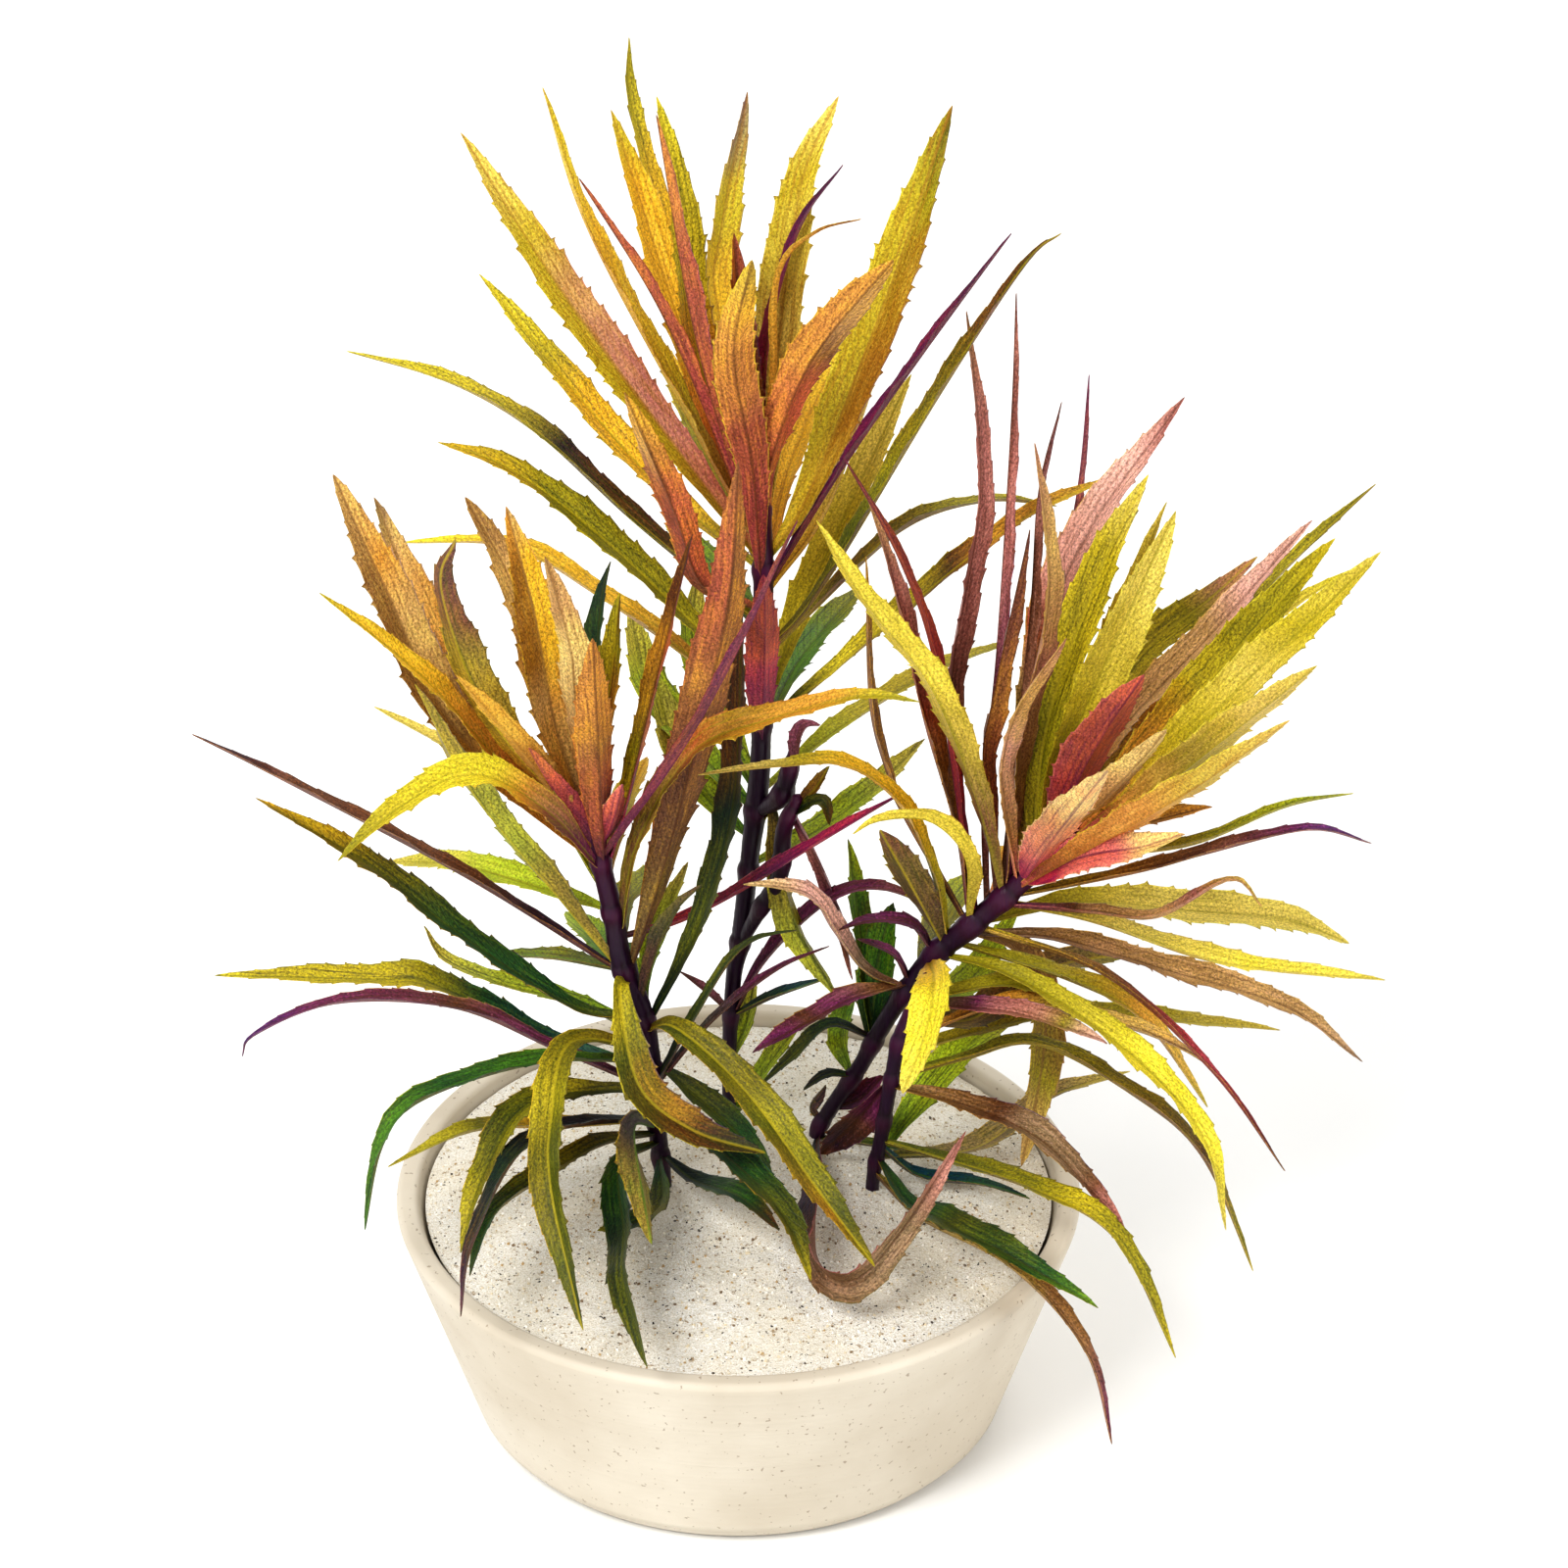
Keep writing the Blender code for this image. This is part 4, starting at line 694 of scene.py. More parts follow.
# Leaves by finish.  Each row is a leaf: its number where it is a node of its own, or the
# stem or shoot that it is part of, the height of its foot, its course as (across, up), how
# far back of the foot each place lies (one number is the tip's), its width, the share of
# the width that shows from in front, and its look, which is its tints from foot to tip /
# those of its left and right margins / its form where that isn't lance.  A bar parts the
# tints of the two halves; where one half is darker, that is partly painted shade of the
# fold.  The margin tints are partly painted light: a pale lit edge, and a dark outline on
# the shaded side.
TALL_LEAVES = {"gold": (
    (1, 136, ((-36, 190), (-61, 229)), 30, 10, 0.9,
     "bronze brass brass brass straw|rust mauve mauve brass straw/lemon magenta"),
    (5, 139, ((-10, 178), (-20, 209), (-28, 234)), (12, 22, 26), 10, 0.85,
     "rust orange gold gold gold brass/gold ochre"),
    (7, 152, ((-5, 192), (-4, 207), (2, 238)), 54, 8.5, 0.75,
     "orange gold gold brass brass violet/gold violet"),
    (9, 143, ((9, 184), (14, 218), (22, 237)), 16, 10.5, 0.95,
     "straw straw straw brass straw/straw straw"),
    (10, 136, ((16, 151), (33, 194), (47, 235)), 12, 11.5, 0.95,
     "gold brass brass brass olive|olive bronze bronze olive moss/lemon violet"),
    ("tall", 145, ((8, 176), (9, 198), (17, 207), (27, 210)), (0, -2, -4, -4), 3.5, 0.3,
     "orange gold gold umber/lemon night"),
    ("tall", 128, ((20, 148), (35, 190), (39, 200)), 42, 7, 0.45, "gold straw brass/lemon gold"),
    ("tall", 140, ((-10, 165), (-33, 208), (-43, 239)), (-4, -3, 0), 8, 0.35,
     "rust brass gold lemon/crimson violet"),
    ("tall", 130, ((12, 158), (26, 188)), 62, 9, 0.8, "orange gold gold lemon/lemon ochre"),
), "olive": (
    (2, 133, ((-22, 156), (-57, 198)), 42, 8, 0.8, "olive gold gold brass lemon/lemon violet"),
    (4, 136, ((-9, 172), (-19, 214), (-24, 238), (-24, 250)), 52, 9, 0.6,
     "ochre rust gold gold brass olive/gold violet"),
    (6, 143, ((-9, 180), (-13, 213), (-18, 237)), (4, 2, -2), 9, 0.8,
     "rust rust ochre brass brass lemon/gold violet"),
    (14, 116, ((18, 129), (45, 173), (63, 200), (71, 207)), -14, 7, 0.4,
     "umber moss olive umber umber/gold night"),
    (15, 122, ((-23, 144), (-44, 163), (-63, 174), (-86, 181)), 22, 8, 0.45,
     "olive moss moss brass lemon|olive umber night brass lemon/lemon violet"),
    (16, 108, ((-10, 121), (-30, 140), (-50, 155), (-66, 161)), 10, 9, 0.7,
     "olive olive olive olive gold/lemon violet"),
    (18, 99, ((22, 112), (50, 135), (66, 146), (84, 154)), 15, 8, 0.55,
     "moss lemon umber ochre brass/lemon plum"),
    ("tall", 114.5, ((16, 124), (36, 142), (54, 148), (70, 147)), 24, 7, 0.35,
     "olive umber olive brass/lemon deep"),
    ("tall", 133, ((-6, 158), (-20, 186)), 62, 9, 0.8, "bronze olive gold/lemon violet"),
    ("tall", 126, ((2, 146), (-3, 162)), 62, 9, 0.8, "rust bronze olive/gold violet"),
    ("tall_low_shoot", 81, ((17, 85), (20, 90)), 4, 4, 0.7, "umber bronze deep/moss night"),
), "yellow": (
    (12, 102, ((12, 120), (23, 144), (38, 176)), 34, 9, 0.9,
     "olive lemon brass straw straw/lemon straw"),
    (17, 100, ((-10, 113), (-30, 127), (-50, 138), (-74, 139)), 34, 8, 0.45,
     "bronze bronze gold gold lemon/lemon olive"),
    ("tall", 84, ((22, 98), (42, 110), (62, 118)), 55, 8, 0.5, "lime brass olive/lemon lime"),
), "orange": (
    (3, 125, ((-8, 130), (-14, 146), (-25, 172)), -26, 7.5, 0.9,
     "brown rust rust tan gold|umber coral coral ochre gold/gold rust"),
    (8, 132, ((3, 156), (-1, 180), (3, 201)), -24, 9.5, 1.0,
     "plum crimson rust rust ochre gold brass/lemon lemon/blunt"),
    (11, 144, ((7, 157), (16, 179), (34, 201)), (-4, -13, -25), 10, 0.9,
     "crimson coral ochre ochre gold|crimson rust coral brown tan gold/gold violet/blunt"),
    ("tall", 139, ((-3, 158), (-17, 190), (-35, 219)), (-5, -10, -14), 6, 0.35,
     "crimson rust gold rust|plum crimson rust rust/gold crimson"),
    ("tall", 147, ((-1, 156), (-10, 188), (-18, 233)), (-5, -12, -18), 8, 0.35,
     "crimson rust rust ochre/orange violet"),
    ("tall", 153, ((1, 180), (-1, 207)), -4, 7, 0.8, "umber umber rust/orange violet"),
), "crimson": (
    (13, 131, ((23, 156), (40, 180), (60, 207)), -6, 5.5, 0.25,
     "night plum plum plum night/night violet"),
    ("tall", 149, ((6, 180), (13, 207), (23, 222)), 8, 5, 0.35,
     "plum magenta plum night/magenta violet"),
    ("tall", 97, ((5.5, 108), (5.8, 120), (5.5, 132)), -25, 8, 0.95,
     "night plum magenta coral rust rust crimson/coral plum/young"),
), "mauve": (
    ("tall", 37, ((4, 45), (11, 53), (21, 61), (31, 63), (43, 59)), -12, 6.5, 0.45,
     "night plum plum umber/mauve night"),
    ("tall_high_shoot", 91, ((14, 98), (18, 99)), -3, 5, 0.6, "night plum plum/plum night"),
    ("tall", 37, ((-7, 40.5), (-13, 45)), -12, 3.6, 0.4, "night plum night/lemon night"),
    ("tall_low_shoot", 79, ((17, 70), (22, 58), (25, 43)), (4, 7, 9), 5, 0.5,
     "plum mauve plum umber mauve/rose violet"),
), "green": (
    ("tall", 79, ((8, 80), (9, 68), (13, 54), (22, 39)), -16, 8, 0.65,
     "moss olive lime lime/lemon moss"),
    ("tall", 68, ((18, 76), (31, 86), (41, 96)), 40, 8, 0.7, "lime lime straw/lemon lime"),
    ("tall", 84, ((-3, 98), (-10, 116), (-9, 132)), 40, 10, 0.85,
     "green lime lime straw/lime teal"),
    ("tall", 80, ((-8, 92), (-20, 108), (-24, 126)), 52, 10, 0.85,
     "green lime lime straw/lemon green"),
    ("tall", 74, ((-6, 82), (-14, 94), (-19, 112)), 32, 9, 0.85,
     "green lime straw lime/lemon green"),
    ("tall", 118, ((-4, 131), (-16, 143)), 60, 9, 0.8, "moss green lime/lemon moss"),
    ("tall", 97, ((14, 114), (28, 130)), 60, 9, 0.8, "moss green olive/lemon moss"),
    ("tall_low_shoot", 80, ((18, 82), (20, 77)), -5, 4, 0.7, "deep moss umber/moss night"),
    ("tall", 25, ((2, 34), (4, 45)), 10, 5.5, 0.75, "lime lime straw/lemon lime"),
    ("tall", 13, ((5, 22), (14, 34)), 10, 6, 0.7, "green lime olive/lemon green"),
), "teal": (
    ("tall", 36, ((8, 39.5), (20, 43.5)), -10, 4, 0.35, "night deep teal night/lemon night"),
)}


def leaf_course(stem, height, course, back):
    """Places of a leaf from its foot inside the stem's skin to its tip, and its way out.

    A single back value is the tip's, and the places between share it by their distance.
    """
    rows = np.array(GROWTH[stem], float)
    across, stem_back, radius = (np.interp(height, rows[:, 1], rows[:, k]) for k in (0, 2, 3))
    above = [np.interp(height + 1.0, rows[:, 1], rows[:, k]) for k in (0, 1, 2)]
    axis = seen(across, height, stem_back)
    along = unit(seen(above[0], height + 1.0, above[2]) - axis)
    course = np.array(course, float)
    if not isinstance(back, tuple):
        run = run_along(np.vstack(((across, height), course)))
        back = back * run[1:] / run[-1]
    places = [seen(a, u, b) for (a, u), b in zip(course, stem_back + np.array(back, float))]
    outward = places[0] - axis
    outward = unit(outward - along * outward.dot(along))
    return np.vstack((axis + outward * (radius - FOOT_INSIDE), places)), outward


def leaf_sideways(points, outward, share):
    """The blade's sideways direction at each point of its course.

    Seen from in front, SHARE of the width shows.  Of the two ways to turn the blade so,
    the one nearer to flat across its way out is taken, with its face up and inward.
    """
    along = unit(np.gradient(points, axis=0))
    level = np.array((0.0, 0.0, 1.0))
    out = points[-1] - points[0]
    out = unit(np.array((out[0], out[1], 0.0)) + 1e-6 * outward)
    natural = np.cross(level, out)
    broad = np.cross(along, INWARD)
    for i in range(1, len(broad)):
        if broad[i].dot(broad[i - 1]) < 0:
            broad[i] = -broad[i]
        broad[i] = broad[i] + 0.25 * broad[i - 1]
    broad = unit(broad - along * (broad * along).sum(axis=1, keepdims=True))
    deep = np.cross(along, broad)
    slant = math.sqrt(max(0.0, 1.0 - share * share))
    choices = [unit(share * broad + way * slant * deep) for way in (1.0, -1.0)]
    fits = [np.abs(choice.dot(natural)).sum() for choice in choices]
    side = choices[int(fits[1] > fits[0])]
    face = np.cross(side[1], along[1])
    return -side if face.dot(level - 0.8 * outward) < 0 else side


def blade_course(stem, height, course, back, share):
    """A blade's middle line, and its lengthwise and sideways directions, step by step.

    The sideways ones are found at the stations, and a moving mean smooths those between.
    """
    coarse, outward = leaf_course(stem, height, course, back)
    middle = smooth_course(coarse, LEAF_STEPS)
    side = leaf_sideways(smooth_course(coarse, LEAF_STATIONS), outward, share)
    side = read_off(LEAF_STEPS, LEAF_STATIONS, side)
    mean = np.ones(LEAF_SMOOTHING) / LEAF_SMOOTHING
    side = np.pad(side, ((LEAF_SMOOTHING // 2, LEAF_SMOOTHING // 2), (0, 0)), mode="edge")
    side = np.stack([np.convolve(column, mean, "valid") for column in side.T], axis=1)
    along = unit(np.gradient(middle, axis=0))
    return middle, along, unit(side - along * (side * along).sum(axis=1, keepdims=True))


def blade_width(shares, width, form):
    """A blade's width along its length, the swell of a sine between a narrow foot and a point.

    The sine's share is bent so that a blunt blade is broadest past its middle, and the
    power makes the shoulders of a blunt or young blade full.
    """
    bend, power = FORMS[form]
    swell = np.sin(math.pi * np.clip(shares, 0.0, 1.0) ** bend) ** power
    return FOOT_WIDTH * (1.0 - shares) + (width - 0.5 * FOOT_WIDTH) * swell


def margin(teeth, late, random):
    """Shares of the length where one margin has its vertices, and how far each stands out.

    The lowest part is plain.  From there on, each tooth has four vertices: it rises slowly
    towards the tip of the leaf and drops at once behind its point.  LATE widens the first
    tooth, so that the teeth of the two margins aren't opposite each other.
    """
    lengths = random.uniform(*TOOTH_LENGTHS, teeth)
    lengths[0] += late
    run = np.concatenate(((0.0,), np.cumsum(lengths) / lengths.sum()))
    edges = TEETH_START + (TEETH_END - TEETH_START) * run
    toothed = edges[:-1, None] + np.diff(edges)[:, None] * TOOTH_PLACES
    high = TOOTH_RISES * random.uniform(*TOOTH_HEIGHTS, teeth)[:, None]
    shares = np.concatenate((PLAIN_PLACES, toothed.ravel(), TIP_PLACES))
    heights = np.pad(high.ravel(), (len(PLAIN_PLACES), len(TIP_PLACES)))
    return shares, heights * np.clip((shares - TEETH_START) / TEETH_FADE, 0.0, 1.0)


def blade_section(u, length, width, form, stands, phase, reach):
    """How far across each place of the grid lies, and the heights of its two sides.

    A ring follows the channel, a power of the distance from the midrib, with a groove
    above the midrib and a keel below.  Slow waves along each margin and a quick ruffle are
    added to both sides, and the teeth to the width.
    """
    half = blade_width(u, width, form) / 2
    fullness = half / BROAD_HALF
    out = np.where(ACROSS < 0, stands[0][:, None], stands[1][:, None]) * FROM_RIB ** 12
    v = ACROSS * (half - TOOTH_ROOT * np.clip(fullness, 0.0, 1.0))
    v = v + np.sign(ACROSS) * TOOTH_HEIGHT * np.clip(fullness, 0.25, 1.0) * out
    run = WHOLE_TURN * u * length
    waves = (np.sin(run / reach[0] + phase[0]) * (ACROSS < 0)
             + np.sin(run / reach[1] + phase[1]) * (ACROSS > 0))
    ruffle = np.sin(run / RUFFLE_LENGTH + phase[2] + ACROSS)
    rise = half * (CHANNEL * FROM_RIB ** 1.2 + WAVE_HEIGHT * waves * FROM_RIB ** 1.6
                   + RUFFLE_HEIGHT * ruffle * FROM_RIB)
    thick = MARGIN_THICKNESS + (MIDRIB_THICKNESS - MARGIN_THICKNESS) * (1 - FROM_RIB) ** 1.5
    thick = thick * (1.15 - 0.6 * u) / 2
    rib = np.exp(-(v / MIDRIB_HALF_WIDTH) ** 2) * np.clip(1.1 - u, 0.0, 1.0)
    return v, rise + thick - GROOVE_DEPTH * rib, rise, rise - thick - KEEL_DEPTH * rib


def blade_tints(tints, edges, u, stands, turned_over, phase):
    """A blade's tints: stops from foot to tip on each half, which meet at the midrib.

    Where one half's stops are darker than the other's, that half is partly painted shade
    of the blade folded away from the light, besides the leaf's own colours.  Each margin
    leans to its own tint, which is partly the leaf's colour and partly painted light: a pale
    lit edge, and a dark outline on the shaded side.  The teeth get brown points, and the
    under side leans to mauve.  A slow wave moves the stops along the blade.
    """
    drift = TINT_DRIFT * (np.sin(WHOLE_TURN * u * 2.3 + phase[3]) + ACROSS * np.sin(phase[2]))
    shifted = np.clip(u + drift, 0.0, 1.0)
    halves = []
    for words in tints.split("|"):
        stops = np.array([PALETTE[word] for word in words.split()])
        halves.append(read_off(shifted, np.linspace(0.0, 1.0, len(stops)), stops))
    margins = [PALETTE[word] for word in edges.split()]
    meet = HALVES_MEET
    if turned_over:
        margins.reverse()
        meet = -HALVES_MEET
    # Where the two halves' tints differ, the darker half is partly painted shade of the blade
    # folded away from the light
    right = np.clip(0.5 + meet * ACROSS, 0.0, 1.0)[:, None]
    colour = halves[0] * (1 - right) + halves[-1] * right
    # Margin tints: partly the leaf's own colour, partly painted light (a pale lit edge, a dark
    # outline on the shaded side); the umber tooth points are the leaf's own
    for column, tint, out in zip((0, -1), margins, stands):
        colour[:, column] = (1 - MARGIN_TINT) * colour[:, column] + MARGIN_TINT * tint
        worn = np.clip(1.6 * (out - 0.4), 0.0, 0.8)[:, None]
        colour[:, column] = colour[:, column] * (1 - worn) + PALETTE["umber"] * worn
    under = colour[:, -2:0:-1] * (1 - UNDER_TINT) + UNDER_TINT * PALETTE["mauve"]
    colour = np.concatenate((colour, under), axis=1).reshape(-1, 3)
    return np.vstack((colour, PALETTE["night"], colour[-1]))


def blade(stem, row, random):
    """Places, faces, tints and map of one leaf.

    The blade is a grid of rings along a smooth course.  A ring runs over the upper side
    from margin to margin and back along the under side.
    """
    name, height, course, back, width, share, look = row
    tints, edges, form = (look.split("/") + ["lance"])[:3]
    grown_on = stem if isinstance(name, int) else name
    middle, along, side = blade_course(grown_on, height, course, back, share)
    length = run_along(middle)[-1]
    teeth = max(FEWEST_TEETH, round(length / TOOTH_SPACING))
    left, left_out = margin(teeth, 0.0, random)
    right, right_out = margin(teeth, RIGHT_TOOTH_LATE, random)
    stands = (left_out, right_out)
    blend = (ACROSS + 1) / 2
    u = left[:, None] * (1 - blend) + right[:, None] * blend
    centre = read_off(u, LEAF_STEPS, middle)
    sideways = unit(read_off(u, LEAF_STEPS, side))
    face = np.cross(sideways, unit(read_off(u, LEAF_STEPS, along)))
    phase = random.uniform(0.0, WHOLE_TURN, 4)
    reach = random.uniform(WAVE_SHORTEST, WAVE_LONGEST, 2)
    v, *heights = blade_section(u, length, width, form, stands, phase, reach)
    upper, edge, lower = (centre + sideways * v[..., None] + face * high[..., None]
                          for high in heights)
    ring = np.concatenate((edge[:, :1], upper[:, 1:-1], edge[:, -1:], lower[:, -2:0:-1]), axis=1)
    turned_over = sideways[len(ring) // 2, len(ACROSS) // 2, 0] < 0
    map_start, _ = random.uniform(0.0, MAP_REACH, 2)
    flat = np.stack((v, u * length + map_start), axis=2)
    flat = np.concatenate((flat, flat[:, -2:0:-1]), axis=1).reshape(-1, 2)
    return (np.vstack((ring.reshape(-1, 3), middle[:1], middle[-1:])), *ring_faces(*ring.shape[:2]),
            blade_tints(tints, edges, u, stands, turned_over, phase),
            np.vstack((flat, flat[:1], flat[-1:])))


def node_group(name, inputs, outputs):
    """A new shader node group with the named sockets, and its input and output nodes."""
    group = bpy.data.node_groups.new(name, "ShaderNodeTree")
    for socket, kind in inputs:
        group.interface.new_socket(socket, in_out="INPUT", socket_type="NodeSocket" + kind)
    for socket, kind in outputs:
        group.interface.new_socket(socket, in_out="OUTPUT", socket_type="NodeSocket" + kind)
    return group, group.nodes.new("NodeGroupInput"), group.nodes.new("NodeGroupOutput")


# Leaf tissue: streaks and patches that run along the blade, fine grain, slanted side veins
# and the midrib, over the blade's own tints and on its map, which is in millimetres.
tissue, given, made = node_group(
    "leaf_tissue",
    (("Tint", "Color"), ("Dark", "Color"), ("Light", "Color"), ("Midrib", "Color"),
     ("Streaks", "Float"), ("Grain", "Float"), ("Rib", "Float")),
    (("Colour", "Color"), ("Roughness", "Float"), ("Height", "Float")))
tint, dark, light, midrib, streaks, graininess, rib_share = given.outputs[:7]
blade_map = tissue.nodes.new("ShaderNodeUVMap")
blade_map.uv_map = "blade"
flat_place = blade_map.outputs["UV"]
apart = tissue.nodes.new("ShaderNodeSeparateXYZ")
tissue.links.new(flat_place, apart.inputs[0])
from_rib = reckon(tissue, "ABSOLUTE", apart.outputs["X"])
streak = noise(tissue, flat_place, (1.7, 0.05, 1.0), 3.0, 0.6)
patch = noise(tissue, flat_place, (0.30, 0.085, 1.0), 3.0, 0.55)
grain = noise(tissue, flat_place, (2.3, 1.5, 1.0), 3.0, 0.75)
speck = noise(tissue, flat_place, (1.7, 1.25, 1.0), 1.0, 0.5)
slanted = plus(tissue, times(tissue, apart.outputs["Y"], 0.62), times(tissue, from_rib, -1.5))
slanted = plus(tissue, slanted, times(tissue, patch, 1.6))
veins = between(tissue, reckon(tissue, "SINE", times(tissue, slanted, 2.9)), 0.72, 1.0)
rib = between(tissue, from_rib, 0.16, 0.42, 1.0, 0.0)
dark_streaks = times(tissue, between(tissue, streak, 0.50, 0.36), streaks)
light_streaks = times(tissue, between(tissue, streak, 0.53, 0.68), streaks)
dark_patches = times(tissue, between(tissue, patch, 0.50, 0.32), 0.28)
light_patches = times(tissue, between(tissue, patch, 0.50, 0.68), 0.45)
specks = times(tissue, between(tissue, speck, 0.64, 0.72), 0.7)
root = tissue.nodes.new("ShaderNodeGamma")
root.inputs["Gamma"].default_value = 0.5
tissue.links.new(mixed(tissue, 1.0, tint, light, "MULTIPLY"), root.inputs["Color"])
paler = mixed(tissue, 1.0, root.outputs["Color"], (1.25, 1.25, 1.25), "MULTIPLY")
tone = mixed(tissue, dark_patches, tint, dark)
tone = mixed(tissue, light_patches, tone, paler)
tone = mixed(tissue, dark_streaks, tone, dark)
tone = mixed(tissue, light_streaks, tone, paler)
grained = mixed(tissue, 1.0, tone, between(tissue, grain, 0.34, 0.66, 0.10, 1.90), "MULTIPLY")
tone = mixed(tissue, graininess, tone, grained)
tone = mixed(tissue, specks, tone, paler)
tone = mixed(tissue, times(tissue, veins, 0.22), tone, dark)
tone = mixed(tissue, times(tissue, rib, rib_share), tone, midrib)
high = plus(tissue, times(tissue, streak, 1.2), times(tissue, grain, 0.7))
high = reckon(tissue, "SUBTRACT", high, times(tissue, veins, 0.5))
tissue.links.new(tone, made.inputs["Colour"])
tissue.links.new(between(tissue, grain, 0.3, 0.7, 0.38, 0.60), made.inputs["Roughness"])
tissue.links.new(high, made.inputs["Height"])


def leaf_finish(name, words, shares):
    """A leaf's material: the tissue group over the blade's tints, with values of its own.

    WORDS are its dark, light and midrib tints, and SHARES those of streaks, grain and rib.
    """
    material, tree, shader = material_of(name, 0.45, 0.25)
    group = tree.nodes.new("ShaderNodeGroup")
    group.node_tree = tissue
    tree.links.new(vertex_tint(tree), group.inputs["Tint"])
    for socket, word in zip(("Dark", "Light", "Midrib"), words.split()):
        group.inputs[socket].default_value = (*PALETTE[word], 1.0)
    for socket, share in zip(("Streaks", "Grain", "Rib"), shares):
        group.inputs[socket].default_value = share
    tree.links.new(group.outputs["Colour"], shader.inputs["Base Color"])
    tree.links.new(group.outputs["Roughness"], shader.inputs["Roughness"])
    raised(tree, group.outputs["Height"], shader, 0.6, 0.00025)
    shader.inputs["Subsurface Weight"].default_value = 0.12
    shader.inputs["Subsurface Radius"].default_value = (0.0010, 0.0006, 0.0002)
    shader.inputs["Subsurface Scale"].default_value = 1.0
    return material


FINISHES = {name: leaf_finish("leaf_" + name, words, shares) for name, words, shares in (
    ("gold", "bronze straw bronze", (0.55, 0.60, 0.45)),
    ("olive", "moss brass brass", (0.60, 0.75, 0.50)),
    ("yellow", "olive straw olive", (0.50, 0.60, 0.45)),
    ("orange", "umber gold umber", (0.50, 0.70, 0.60)),
    ("crimson", "plum coral plum", (0.55, 0.65, 0.50)),
    ("mauve", "umber blush umber", (0.50, 0.70, 0.50)),
    ("tan", "brown straw brown", (0.55, 0.70, 0.60)),
    ("green", "deep olive moss", (0.65, 0.75, 0.45)),
    ("teal", "deep green green", (0.60, 0.70, 0.45)))}


def grow_leaves(stem, leaves, random):
    """Make a stem's leaves, one piece for each finish, and hide the solids they stand for."""
    for finish, rows in leaves.items():
        blades = [blade(stem, row, random) for row in rows]
        places, quads, fans, tints, flat = gathered(blades)
        piece = mesh_piece(f"{stem}_{finish}_leaves", places, quads, fans, sharp=60.0,
                           colours=tints, map_places=flat)
        piece.data.materials.append(FINISHES[finish])
        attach(piece, "root")
        nodes = [f"{stem}_leaf_{row[0]:02d}" for row in rows if isinstance(row[0], int)]
        if len(nodes) < len(rows):
            nodes.append(stem + "_stem")
        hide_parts(*nodes)


grow_leaves("tall", TALL_LEAVES, np.random.default_rng(31))

